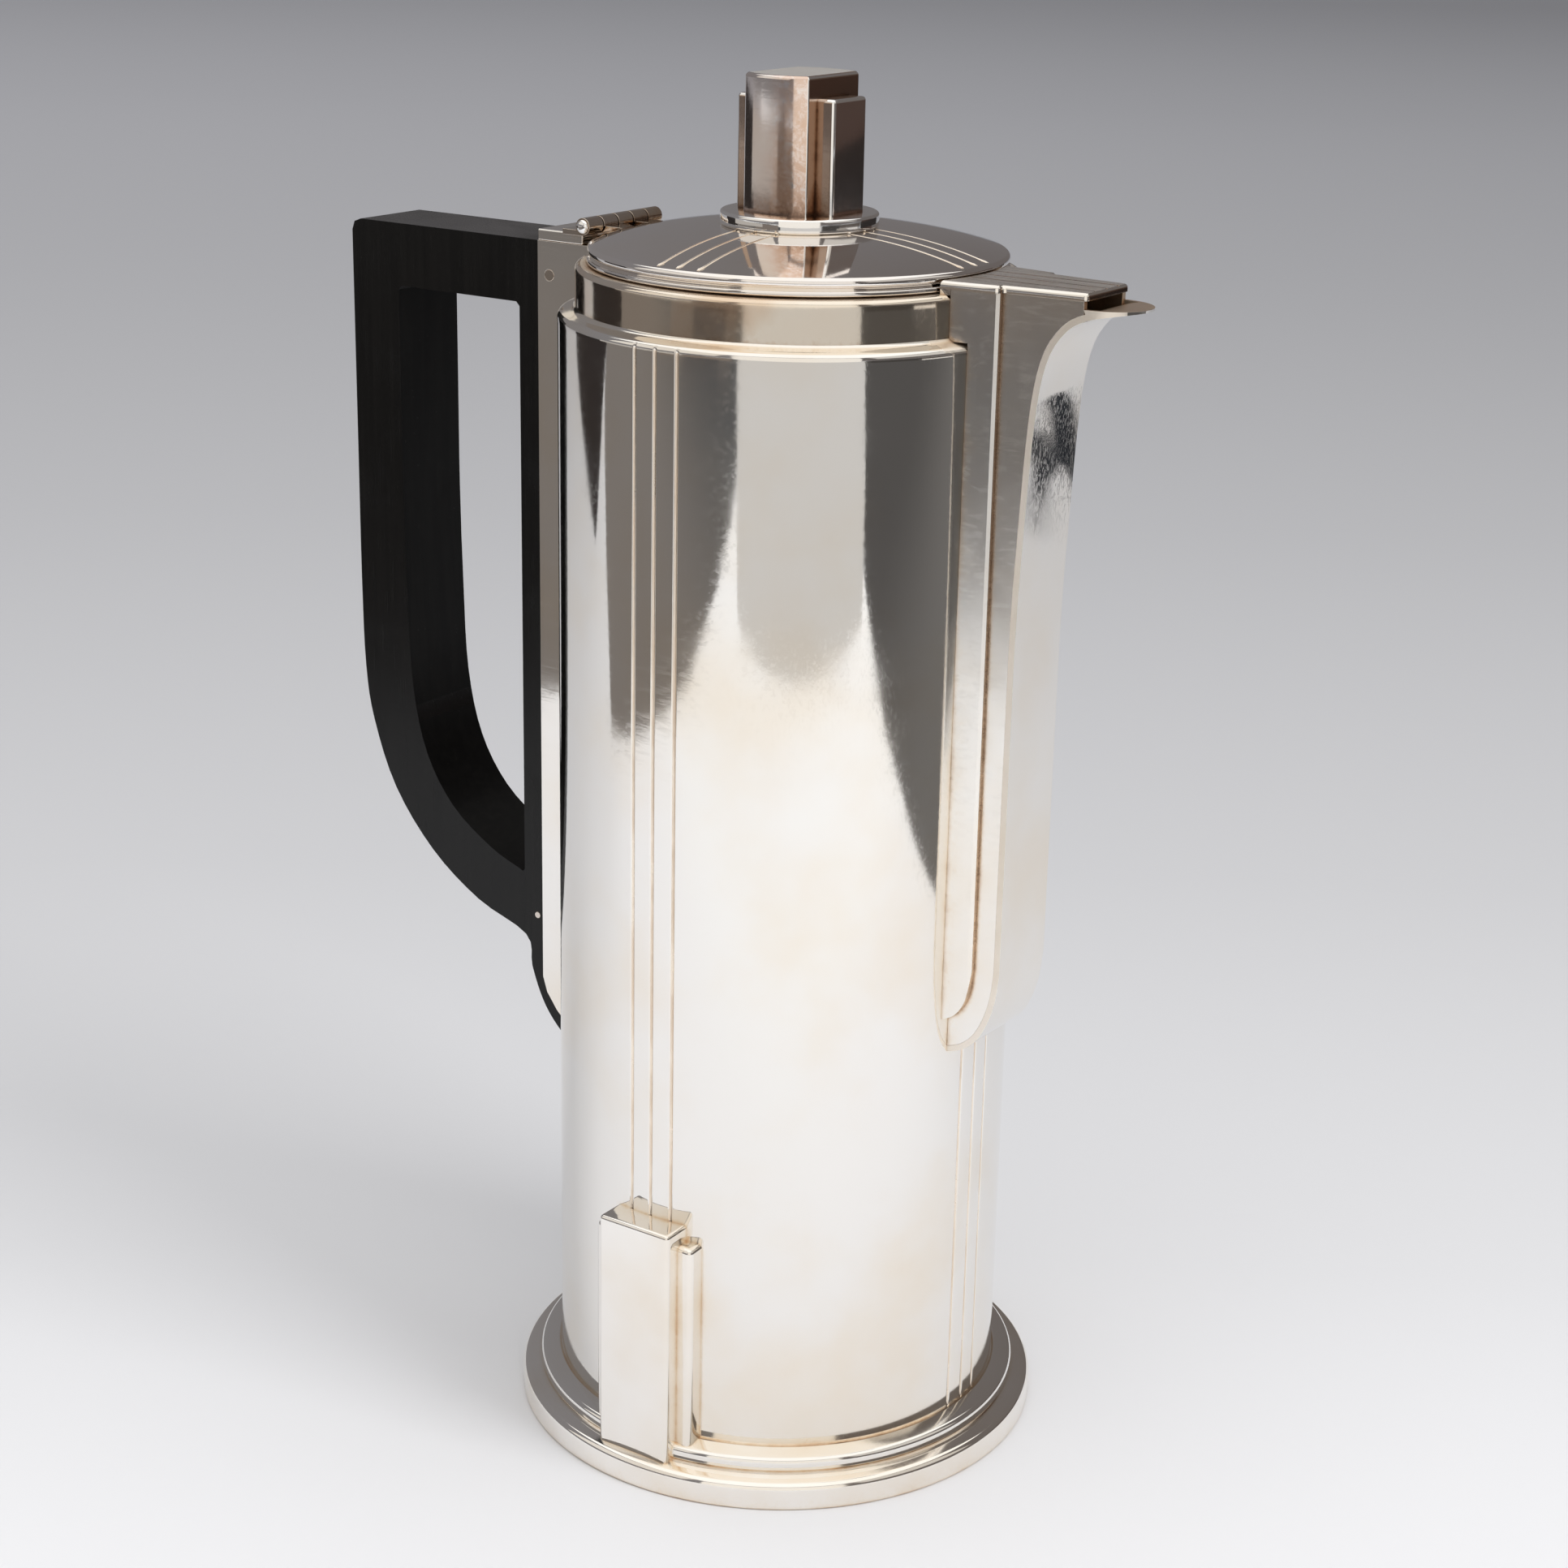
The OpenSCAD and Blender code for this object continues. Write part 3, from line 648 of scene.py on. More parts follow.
def lid_plan():
    """the domed face from above: points and triangles, finer along the lines"""
    points, edges = [], []

    def chain(loop, closed=True):
        base = len(points)
        points.extend(Vector(p) for p in loop)
        n = len(loop)
        for i in range(n if closed else n - 1):
            edges.append((base + i, base + (i + 1) % n))

    rings = [3, 6, 9, 12, 13.2, 14.6, 16.2, 18, 20, 22, 24, 26, 28, 30, 31.5, 33, 34.2, 35.2, 36.1]
    spacing = 1.15
    for r in rings:
        count = max(24, int(2 * math.pi * r / spacing))
        for k in range(count):
            a = 2 * math.pi * (k + 0.5 * (r % 2 > 1)) / count
            x, y = r * math.cos(a), r * math.sin(a)
            if all(
                not (start - 0.9 < local(x, y, t)[0] < far + 0.9 and abs(local(x, y, t)[1] - s) < 0.95)
                for t, s, start, far in LID_LINES
            ):
                points.append(Vector((x, y)))
    turns = [2 * math.pi * k / 288 for k in range(288)]
    chain([(LID_EDGE_R * math.cos(a), LID_EDGE_R * math.sin(a)) for a in turns])
    for a, side, start, far in LID_LINES:
        for offset in (-0.66, -0.35, -0.27, -0.17, -0.07, 0, 0.07, 0.17, 0.27, 0.35, 0.66):
            count = 30
            loop = []
            for k in range(count + 1):
                u = start + (far - 0.1 - start) * k / count
                v = side + offset * swelling(u, far)
                loop.append((u * math.cos(a) - v * math.sin(a), u * math.sin(a) + v * math.cos(a)))
            if abs(offset) < 0.6:
                chain(loop, False)
            else:
                points.extend(Vector(p) for p in loop)
        for extra in (-1.3, -1.0, -0.75, -0.5, -0.3, -0.15, -0.05, 0.08):
            for v in (-0.6, -0.45, -0.3, -0.15, 0.0, 0.15, 0.3, 0.45, 0.6):
                u = far + extra
                if math.hypot(u, side + v) < LID_EDGE_R - 0.06:
                    points.append(Vector((
                        u * math.cos(a) - (side + v) * math.sin(a),
                        u * math.sin(a) + (side + v) * math.cos(a),
                    )))
    result = delaunay_2d_cdt(points, edges, [], 0, 1e-4)
    return result[0], result[2]


def lid():
    """the domed face, its rolled edge, and the hollow beneath"""
    flat, triangles = lid_plan()
    verts = [(p.x, p.y, dome(math.hypot(p.x, p.y)) - depth(p.x, p.y)) for p in flat]
    faces = [tuple(t) for t in triangles]
    # order of the rim points, to carry the edge round and under
    rim = [i for i, p in enumerate(flat) if abs(math.hypot(p.x, p.y) - LID_EDGE_R) < 2e-3]
    rim.sort(key=lambda i: math.atan2(flat[i].y, flat[i].x))
    rim_turns = [math.atan2(flat[i].y, flat[i].x) for i in rim]
    roll = 0.95
    roll_turns = [math.radians(t) for t in (65, 57, 49, 41, 33, 25, 17, 9, 0, -10, -21, -33, -46, -58)]
    side = [
        (LID_R - 0.1 - roll + roll * math.cos(t), RIM_Z - 0.67 + roll * math.sin(t)) for t in roll_turns
    ]
    side += [
        (LID_R - 0.63, LID_Z + 1.3), (LID_R - 0.65, LID_Z + 0.95), (LID_R - 0.3, LID_Z + 0.9),
        (LID_R - 0.1, LID_Z + 0.83), (LID_R - 0.02, LID_Z + 0.7), (LID_R, LID_Z + 0.5),
        (LID_R, LID_Z + 0.2), (LID_R - 0.06, LID_Z + 0.06), (LID_R - 0.2, LID_Z),
        (33.7, LID_Z), (33.5, LID_Z + 0.2), (33.3, LID_Z + 0.9),
    ]
    side += [(r, dome(r) - LID_SHEET) for r in (33.0, 30, 26, 20, 14, 6)]
    previous = rim
    n = len(rim)
    for r, z in side:
        row = list(range(len(verts), len(verts) + n))
        verts += [(r * math.cos(a), r * math.sin(a), z) for a in rim_turns]
        for k in range(n):
            faces.append((previous[k], row[k], row[(k + 1) % n], previous[(k + 1) % n]))
        previous = row
    faces.append(tuple(previous))
    piece = make("lid_domed", verts, faces, 60)
    outward(piece)
    set_dome_normals(piece.data, flat, rim, rim_turns)
    return piece


def set_dome_normals(mesh, flat, rim, rim_turns):
    """exact normals on the domed face, so that its reflections run clean beside the lines"""
    count = len(flat)
    step = 0.01
    normals = [v.normal.copy() for v in mesh.vertices]
    for i in range(count):
        x, y = flat[i].x, flat[i].y
        r = math.hypot(x, y)
        if r > LID_EDGE_R - 0.02:
            continue
        k = slope(r) / r if r > 1e-6 else 0.0
        gx = k * x - (depth(x + step, y) - depth(x - step, y)) / (2 * step)
        gy = k * y - (depth(x, y + step) - depth(x, y - step)) / (2 * step)
        normals[i] = Vector((-gx, -gy, 1)).normalized()
    tilt = -slope(LID_EDGE_R)
    for i, a in zip(rim, rim_turns):
        normals[i] = Vector((tilt * math.cos(a), tilt * math.sin(a), 1)).normalized()
    corners = []
    for loop in mesh.loops:
        v = loop.vertex_index
        corners.append(tuple(normals[v] if v < count else mesh.corner_normals[loop.index].vector))
    mesh.normals_split_custom_set(corners)


def in_lid_line(middle, normal):
    """1 on the faces of the engraved lines"""
    on_dome = normal.z > 0.3 and middle.z > dome(math.hypot(middle.x, middle.y)) - 0.5
    return on_dome and depth(middle.x, middle.y) > 0.03


place(lid(), SILVER_LID, "lid", "silver", "lid_dome", others=(LINE,), chosen=in_lid_line)
place(
    revolve("lid_bezel_turned", fillet([
        (33.9, LID_Z - 3.6, 0.35), (34.8, LID_Z - 3.6, 0.35),
        (34.8, LID_Z + 0.1, 0), (33.9, LID_Z + 0.1, 0),
    ])),
    INNER, "lid", "silver", "lid_bezel",
)
place(
    revolve("finial_disc_turned", fillet([
        (1.5, DISC_Z, 0), (DISC_R - 0.35, DISC_Z, 0.1), (DISC_R, DISC_Z + 0.4, 0.2),
        (DISC_R, DISC_TOP, 0.55), (1.5, DISC_TOP, 0),
    ])),
    SILVER_PIN, "lid", "silver", "finial_disc",
)
place(
    revolve("body_floor_turned", fillet([
        (0.02, FOOT_H + 0.5, 0), (36, FOOT_H + 0.15, 6), (BODY_R - SHEET, FOOT_H, 0),
        (BODY_R - SHEET, FOOT_H + 1.4, 0), (36, FOOT_H + 1.4, 0), (0.02, FOOT_H + 1.4, 0),
    ])),
    SILVER, "pot", "silver", "body_floor",
)


# ---------------------------------------------------------------- standing plates of the foot
def eased_box(name, low, high, round_edges, width):
    """a box whose edges are rounded where round_edges(middle of the edge) says so"""
    bm = bmesh.new()
    bmesh.ops.create_cube(bm, size=1.0)
    size = [(h - l) * MM for l, h in zip(low, high)]
    middle = [(h + l) / 2 * MM for l, h in zip(low, high)]
    bmesh.ops.scale(bm, vec=size, verts=bm.verts)
    bmesh.ops.translate(bm, vec=middle, verts=bm.verts)
    picked = [
        e for e in bm.edges
        if round_edges(*((e.verts[0].co + e.verts[1].co) / 2 / MM))
    ]
    bmesh.ops.bevel(
        bm, geom=picked, offset=width * MM, segments=5, profile=0.5, affect="EDGES",
        clamp_overlap=True,
    )
    return built(name, bm)


def drum(name, r, z0, z1):
    bm = bmesh.new()
    bmesh.ops.create_cone(
        bm, cap_ends=True, segments=448, radius1=r * MM, radius2=r * MM, depth=(z1 - z0) * MM,
        matrix=Matrix.Translation((0, 0, (z0 + z1) / 2 * MM)),
    )
    return built(name, bm)


def smooth(piece, angle):
    piece.data.shade_smooth()
    piece.data.set_sharp_from_angle(angle=math.radians(angle))
    return piece


def standing(side):
    """the two stacked plates on one side of the foot"""
    word = "front" if side < 0 else "rear"

    def measures(node):
        low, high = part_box(node)
        return high.x / MM, max(abs(low.y), abs(high.y)) / MM, high.z / MM

    half, reach, _ = measures("block_" + word)
    step_half, step_reach, step_top = measures("block_%s_step" % word)

    def rounded(face, top_z):
        def test(x, y, z):
            at_front = abs(abs(y) - face) < 0.01
            at_top = abs(z - top_z) < 0.01
            return at_front and z > FOOT_H + 1 or at_top
        return test

    def span(face):
        within = 36.0
        return (-face, -within) if side < 0 else (within, face)

    y0, y1 = span(reach)
    front = eased_box(
        "block_%s_plate" % word, (-half, y0, FOOT_H - 0.6), (half, y1, BLOCK_Z),
        rounded(reach, BLOCK_Z), 0.8,
    )
    y0, y1 = span(step_reach)
    back = eased_box(
        "block_%s_back_plate" % word, (-step_half, y0, FOOT_H), (step_half, y1, step_top),
        rounded(step_reach, step_top), 1.1,
    )
    tube = drum("tube_tool", BODY_R, 0, 80)
    carve(front, back, tube, moulding)
    carve(back, tube, moulding)
    bpy.data.objects.remove(tube)
    place(smooth(front, 35), SILVER_FOOT, "pot", "silver", "block_" + word)
    place(smooth(back, 35), SILVER_FOOT, "pot", "silver", "block_%s_step" % word)


standing(-1)
standing(1)


def prism(name, plan, z0, z1, width=0.0):
    """an upright prism over a plan outline, its top edges and uprights eased by width"""
    n = len(plan)
    verts = [(x, y, z) for z in (z0, z1) for x, y in plan]
    faces = [tuple(range(n))[::-1], tuple(range(n, 2 * n))]
    faces += [(i, (i + 1) % n, n + (i + 1) % n, n + i) for i in range(n)]
    made = make(name, verts, faces, 30)
    outward(made)
    if width:
        bm = bmesh.new()
        bm.from_mesh(made.data)
        picked = [e for e in bm.edges if max(v.co.z for v in e.verts) > (z1 - 0.01) * MM]
        bmesh.ops.bevel(
            bm, geom=picked, offset=width * MM, segments=4, profile=0.5, affect="EDGES",
            clamp_overlap=True,
        )
        bm.to_mesh(made.data)
        bm.free()
    return made


def spout_cover():
    """the flat top of the spout, hollowed to the lid's curve, with three faint lines"""
    low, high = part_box("spout_cover")
    z1, end = high.z / MM, high.x / MM
    bar_x, bar_hw = 46.4, 9.8
    plan = [
        (34, -11.55), (bar_x, -bar_hw), (bar_x, -8.4), (end, -7.2),
        (end, 7.2), (bar_x, 8.4), (bar_x, bar_hw), (34, 11.55),
    ]
    plate = prism("spout_cover_plate", plan, z1 - 1.3, z1, 0.7)
    cut = drum("lid_tool", LID_R + 0.4, SEAT_Z - 1, z1 + 2)
    tools = [cut]
    for y in (-LID_GAP, 0, LID_GAP):
        strip = [(30, y - 0.16), (70, y - 0.16), (70, y + 0.16), (30, y + 0.16)]
        tools.append(prism("line_tool", strip, z1 - 0.12, z1 + 1))
    carve(plate, *tools)
    under = prism("spout_cover_under", plan, SEAT_Z, z1 - 1.29)
    ring_tool = drum("collar_tool", COLLAR_R - 0.02, SEAT_Z - 2, z1 + 2)
    keep = under.modifiers.new("keep", "BOOLEAN")
    keep.object = ring_tool
    keep.operation = "INTERSECT"
    keep.solver = "EXACT"
    carve(under, cut)
    bm = bmesh.new()
    bm.from_mesh(plate.data)
    bm.from_mesh(under.data)
    bm.to_mesh(plate.data)
    bm.free()
    for tool in tools + [ring_tool, under]:
        bpy.data.objects.remove(tool)
    return smooth(plate, 35)


def cover_part(middle, normal):
    """1 on the brown end, 2 on the polished sides and edges, 3 beneath"""
    if normal.z < -0.5:
        return 3
    if normal.x > 0.9:
        return 1
    return 2 if normal.z < 0.97 else 0


place(
    spout_cover(), SILVER_COVER, "pot", "silver", "spout_cover",
    others=(COPPERED, SILVER_SPOUT, INNER), chosen=cover_part,
)


# ---------------------------------------------------------------- finial block and hinge pin
def finial_core():
    """an upright block with bowed faces, its top edge rounded over onto a slightly domed top"""
    low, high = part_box("finial_core")
    half_x, half_y, z0, z1 = high.x / MM, high.y / MM, low.z / MM, high.z / MM
    bow = 13.0
    span = math.asin(half_x / bow)
    front = [
        (bow * math.sin(a), half_y - bow + bow * math.cos(a))
        for a in (span * (1 - 2 * k / 28) for k in range(29))
    ]
    plan = [(x, y, 0.45 if k in (0, 28) else 0) for k, (x, y) in enumerate(front)]
    plan += [(-x, -y, r) for x, y, r in plan]
    loop = fillet(plan, 6)
    n = len(loop)
    points = [np.array(p) for p in loop]
    normal = []
    for i in range(n):
        t = points[(i + 1) % n] - points[i - 1]
        t = t / np.linalg.norm(t)
        out = np.array([t[1], -t[0]])
        normal.append(out if out @ points[i] > 0 else -out)
    round_r = 0.75
    verts, faces = [], []

    def layer(z_at, inset):
        verts.extend((*(p - q * inset), z_at) for p, q in zip(points, normal))

    crown = 0.18
    edge = z1 - crown
    layer(z0, 0.0)
    layer(z0 + 0.6, 0.0)
    for k in range(9):
        a = math.pi / 2 * k / 8
        layer(edge - round_r + round_r * math.sin(a), round_r - round_r * math.cos(a))
    rim = [p - q * round_r for p, q in zip(points, normal)]
    for k in range(1, 6):
        f = 1 - k / 6
        verts.extend((*(p * f), edge + crown * (1 - f * f)) for p in rim)
    count = len(verts) // n
    for k in range(count - 1):
        for i in range(n):
            j = (i + 1) % n
            faces.append((k * n + i, k * n + j, (k + 1) * n + j, (k + 1) * n + i))
    verts.append((0, 0, z1))
    centre = len(verts) - 1
    for i in range(n):
        faces.append(((count - 1) * n + i, (count - 1) * n + (i + 1) % n, centre))
    faces.append(tuple(range(n))[::-1])
    piece = make("finial_core_block", verts, faces, 40)
    outward(piece)
    return piece


def core_part(middle, normal):
    """1 on the brown ends, 2 on the rubbed edges, 3 on the top"""
    if middle.z > top("finial_core") - 0.2:
        return 3
    if 0.55 < abs(normal.x) < 0.95:
        return 2
    return int(abs(normal.x) > 0.95)


place(
    finial_core(), SILVER_FINIAL, "lid", "silver", "finial_core",
    others=(COPPERED, SILVER_PIN, SATIN), chosen=core_part,
)


def hinge_pin():
    """a pin with two domed heads, along Y"""
    low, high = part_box("hinge_pin")
    x0, z0 = (low.x + high.x) / 2 / MM, (low.z + high.z) / 2 / MM
    end = high.y / MM
    head = (high.z - low.z) / 2 / MM
    profile = [(0.02, -end)]
    for k in range(1, 9):
        a = math.pi / 2 * k / 8
        profile.append((head * math.sin(a), -end + 0.62 * (1 - math.cos(a))))
    profile += [(head, -end + 0.7), (0.8, -end + 0.72)]
    profile += [(r, -y) for r, y in reversed(profile)]
    piece = revolve("hinge_pin_turned", profile, 48, 35)
    for v in piece.data.vertices:
        x, y, z = v.co / MM
        v.co = Vector((x0 + x, z, z0 + y)) * MM
    outward(piece)
    return piece


place(hinge_pin(), SILVER_PIN, "pot", "steel", "hinge_pin")

# ---------------------------------------------------------------- pieces taken from the CAD solids
EASED = [
    ("spout_front", 0.3, SILVER_SPOUT, "pot", "silver"),
    ("spout_side_left", 0.3, SILVER_SIDE, "pot", "silver"),
    ("spout_side_right", 0.3, SILVER_SIDE, "pot", "silver"),
    ("spout_bar_left", 0.45, SILVER_SIDE, "pot", "silver"),
    ("spout_bar_right", 0.45, SILVER_SIDE, "pot", "silver"),
    ("handle_socket", 0.3, SILVER, "pot", "silver"),
    ("socket_cap", 0.3, SILVER, "pot", "silver"),
    ("handle", 0.7, EBONY, "pot", "ebony"),
    ("handle_pin_upper", 0.15, SILVER_HINGE, "pot", "silver_worn"),
    ("handle_pin_lower", 0.12, SILVER_HINGE, "pot", "silver_worn"),
    ("hinge_pot_leaf", 0.32, SILVER_HINGE, "pot", "silver_worn"),
    ("hinge_lid_leaf", 0.32, SILVER_HINGE, "lid", "silver_worn"),
    ("finial_stud", 0.2, STEEL, "lid", "steel"),
    ("finial_washer", 0.1, STEEL, "lid", "steel"),
    ("finial_nut", 0.25, STEEL, "lid", "steel"),
]


def in_grip_opening(middle, normal):
    """faces of the handle that look into the finger opening"""
    if abs(normal.y) >= 0.5:
        return False
    low, high = (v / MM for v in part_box("handle"))
    on_grip = abs(middle.x - low.x - 11.7) < 2 and normal.x > 0.3
    on_bend = middle.x > low.x + 14 and normal.x > 0.15
    under_top = normal.z < -0.3 and middle.z > high.z - 16
    by_socket = normal.x < -0.9 and middle.x > -60
    return on_grip or middle.z > 95 and (on_bend or under_top or by_socket)


def bar_part(middle, normal):
    """1 on the brown strip beside the box, 2 on the rubbed corner"""
    if normal.x > 0.8:
        return 1
    return 2 if 0.30 < normal.x < 0.68 else 0


def side_part(middle, normal):
    """1 inside the spout and on the edge behind the front"""
    return middle.y * normal.y < 0 and abs(normal.y) > 0.5 or normal.x > 0.75


def front_part(middle, normal):
    """1 inside the spout, 2 on the narrow sides"""
    if abs(normal.y) > 0.7:
        return 2
    return normal.x < -0.2 or normal.z > 0.5


PARTLY = {
    "handle": ((EBONY_INNER,), in_grip_opening),
    "spout_front": ((INNER, TANNED), front_part),
    "spout_side_left": ((INNER,), side_part),
    "spout_side_right": ((INNER,), side_part),
    "spout_bar_left": ((BROWNED, SILVER_PIN), bar_part),
    "spout_bar_right": ((BROWNED, SILVER_PIN), bar_part),
}
for node, width, material, body_name, slot_name in EASED:
    others, test = PARTLY.get(node, ((), None))
    place(polished(node, width), material, body_name, slot_name, node, others=others, chosen=test)


def finial_rib(node, side):
    """an upright rib, its outer corners and top rounded"""
    low, high = (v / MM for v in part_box(node))

    def rounded(x, y, z):
        outer = abs(x - (high.x if side > 0 else low.x)) < 0.01
        at_top = z > high.z - 0.01 and abs(x) > abs(low.x + high.x) / 2 - 0.01
        return outer and z > low.z + 0.1 or at_top

    def rib_part(middle, normal):
        """1 on the brown flanks, 2 on the rubbed edges"""
        if abs(normal.y) > 0.97:
            return 1
        return 2 if max(abs(n) for n in normal) < 0.97 else 0

    made = eased_box(node + "_block", low, high, rounded, 0.7)
    outward(made)
    place(
        smooth(made, 40), SILVER_FINIAL, "lid", "silver", node,
        others=(COPPERED, SILVER_PIN), chosen=rib_part,
    )


finial_rib("finial_rib_front", 1)
finial_rib("finial_rib_rear", -1)


# ---------------------------------------------------------------- studio
def stage_mesh(name, verts, faces, material):
    mesh = bpy.data.meshes.new(name)
    mesh.from_pydata(verts, [], faces)
    mesh.materials.append(material)
    made = linked(name, mesh)
    return made


# the camera's direction from the pot, right of -Y
AZIMUTH = math.radians(33.7)


def from_camera(x, y, z):
    """a point x to the camera's right, y toward it and z up, from the pot's foot, in metres"""
    c, s = math.cos(AZIMUTH), math.sin(AZIMUTH)
    return (x * c + y * s, x * s - y * c, z)


def floor_material():
    """pale paper with painted light, brightest in front of the pot and falling off to grey behind it"""
    g = Graph("sweep_paper")
    turned = g.node("ShaderNodeMapping")
    turned.inputs["Rotation"].default_value = (0, 0, -AZIMUTH)
    g.link(g.place, turned.inputs["Vector"])
    split = g.node("ShaderNodeSeparateXYZ")
    g.link(turned.outputs["Vector"], split.inputs[0])
    aside = g.math("MULTIPLY", g.math("ABSOLUTE", split.outputs["X"]), 0.06)
    away = g.math("ADD", split.outputs["Y"], aside)
    tone = g.node("ShaderNodeValToRGB")
    tone.color_ramp.interpolation = "B_SPLINE"
    # painted light: tone at metres behind the pot
    painted_light_stops = (
        (-0.18, 0.845), (-0.06, 0.84), (0.06, 0.71), (0.30, 0.58), (0.75, 0.475), (1.5, 0.42),
        (2.6, 0.44),
    )
    start, reach = -0.3, 4.8
    first, last = tone.color_ramp.elements
    first.position, first.color = 0.0, (0.89, 0.89, 0.89, 1)
    last.position, last.color = 1.0, (0.285, 0.284, 0.30, 1)
    for at, value in painted_light_stops:
        made = tone.color_ramp.elements.new((at - start) / reach)
        blue = value * (1.005 + 0.014 * min(at - start, 3))
        made.color = (value, value * 0.996, blue, 1)
    g.link(g.math("MULTIPLY", g.math("ADD", away, -start), 1 / reach), tone.inputs[0])
    # the light falls off a little to the right
    side = g.math("SUBTRACT", 1.0, g.math("MULTIPLY", split.outputs["X"], 0.12))
    side = g.math("MINIMUM", g.math("MAXIMUM", side, 0.6), 1.2)
    scaled = g.node("ShaderNodeVectorMath", operation="SCALE")
    g.link(tone.outputs[0], scaled.inputs[0])
    g.link(side, scaled.inputs["Scale"])
    g.link(scaled.outputs[0], g.shader.inputs["Base Color"])
    g.shader.inputs["Roughness"].default_value = 0.9
    g.shader.inputs["Specular IOR Level"].default_value = 0.05
    g.bump([(g.noise(700, 2, 0.5), 0.03, 0.0001)])
    return g.material


def glow(name, colour, strength=1.0, far=None, axis=(0, 1), span=(0, 1)):
    """an even glow, or one that runs to the colour far between two distances along a floor direction"""
    g = Graph(name)
    g.shader.inputs["Base Color"].default_value = (0, 0, 0, 1)
    g.shader.inputs["Specular IOR Level"].default_value = 0
    g.shader.inputs["Emission Color"].default_value = colour
    g.shader.inputs["Emission Strength"].default_value = strength
    if far:
        x, y, _ = from_camera(*axis, 0)
        along = g.node("ShaderNodeVectorMath", operation="DOT_PRODUCT")
        g.link(g.place, along.inputs[0])
        along.inputs[1].default_value = (x, y, 0)
        shade = g.mix(g.ramp(along.outputs["Value"], *span), colour, far)
        g.link(shade, g.shader.inputs["Emission Color"])
    return g.material


SIDE = 9.0
stage_mesh(
    "floor",
    [(-SIDE, -SIDE, 0), (SIDE, -SIDE, 0), (SIDE, SIDE, 0), (-SIDE, SIDE, 0)],
    [(0, 1, 2, 3)],
    floor_material(),
)


def unseen(made):
    """a stage piece that shows only in reflections"""
    made.visible_camera = False
    made.visible_diffuse = False
    made.visible_shadow = False
    return made


def card(name, outline, tone, height=0.002, **fade):
    made = stage_mesh(
        name, [from_camera(x, y, height) for x, y in outline], [tuple(range(len(outline)))],
        glow(name, tone, **fade),
    )
    return unseen(made)


def polar(*points):
    """floor points from degrees to the right of the camera's side and metres from the pot"""
    return [
        (far * math.sin(math.radians(turn)), far * math.cos(math.radians(turn))) for turn, far in points
    ]


def sector(name, first, last, near, far, tone, height=0.004):
    """a piece of a floor ring round the pot"""
    turns = [first + (last - first) * k / 8 for k in range(9)]
    outline = polar(*((a, near) for a in turns), *((a, far) for a in reversed(turns)))
    return card(name, outline, tone, height)


# the dark room beside the paper
card("room_left", [
    (-0.475, -0.03), (-0.47, 0.10), (-0.455, 0.21), (-0.42, 0.385), (-0.40, 0.545), (-0.385, 0.70),
    (-0.39, 0.79), (-0.54, 1.05), (-1.5, 2.95), (-5.0, 5.0), (-5.0, -1.0), (-1.2, -0.20),
    (-1.05, -0.205), (-0.86, -0.16), (-0.70, -0.11),
], (0.20, 0.182, 0.170, 1), far=(0.085, 0.086, 0.088, 1), span=(0.25, 1.0))
card("room_left_far", [
    (-0.70, -0.224), (-0.853, -0.219), (-1.02, -0.225), (-1.2, -0.20), (-5.0, -0.9), (-5.0, -3.6),
    (-0.93, -0.72), (-0.80, -0.44),
], (0.032, 0.027, 0.026, 1))
card("room_right", [
    (0.33, -0.02), (0.32, 0.06), (0.335, 0.13), (0.355, 0.25), (0.36, 0.36), (0.38, 0.505),
    (0.395, 0.615), (0.48, 0.74), (0.62, 1.01), (1.8, 2.95), (5.0, 5.0), (5.0, -0.45), (1.2, -0.06),
], (0.16, 0.153, 0.148, 1), far=(0.088, 0.084, 0.082, 1), span=(0.1, 0.6))
card("room_front", [
    (-0.275, 0.59), (-0.235, 0.573), (-0.12, 0.563), (0.0, 0.56), (0.14, 0.553), (0.25, 0.54),
    (0.35, 0.54), (0.395, 0.615), (0.48, 0.74), (0.62, 1.01), (1.8, 2.95), (-1.5, 2.95),
    (-0.54, 1.05), (-0.39, 0.79),
], (0.64, 0.625, 0.61, 1))
card("bag_right", polar(
    (114.15, 0.650), (114.5, 0.695), (114.85, 0.740), (115.1, 0.80), (116.2, 0.80), (116.9, 0.72),
    (117.2, 0.66), (116.9, 0.648), (116.3, 0.668), (115.9, 0.72), (115.7, 0.74), (115.2, 0.715),
    (114.4, 0.650),
), (0.022, 0.024, 0.030, 1))
# what only the collar and the finial look down on, farther out
sector("far_left_wall", -105, -54, 1.95, 5, (0.46, 0.43, 0.40, 1), 0.007)
sector("far_left_shade", -66, -30, 1.20, 5, (0.20, 0.17, 0.15, 1))
sector("bag_left", -53, -36, 1.21, 1.36, (0.03, 0.034, 0.045, 1), 0.006)
sector("far_left_dark", -128, -106, 1.45, 5, (0.03, 0.026, 0.025, 1))
sector("far_right_dark", 33, 60, 1.5, 5, (0.06, 0.055, 0.052, 1))
sector("far_right_light", 60, 92, 1.5, 1.95, (0.80, 0.76, 0.72, 1))
sector("far_right_shade", 60, 97, 1.95, 5, (0.10, 0.085, 0.075, 1))
sector("far_right_black", 98, 146, 1.42, 5, (0.028, 0.024, 0.023, 1))

# ceiling and walls
bm = bmesh.new()
bmesh.ops.create_uvsphere(bm, u_segments=48, v_segments=24, radius=8.5)
bmesh.ops.reverse_faces(bm, faces=bm.faces)
walls = built("studio_walls", bm)
walls.data.materials.append(glow(
    "studio_walls", (0.215, 0.207, 0.212, 1), far=(0.148, 0.132, 0.126, 1),
    axis=(1, 0), span=(-3.5, 3.5),
))
unseen(walls)


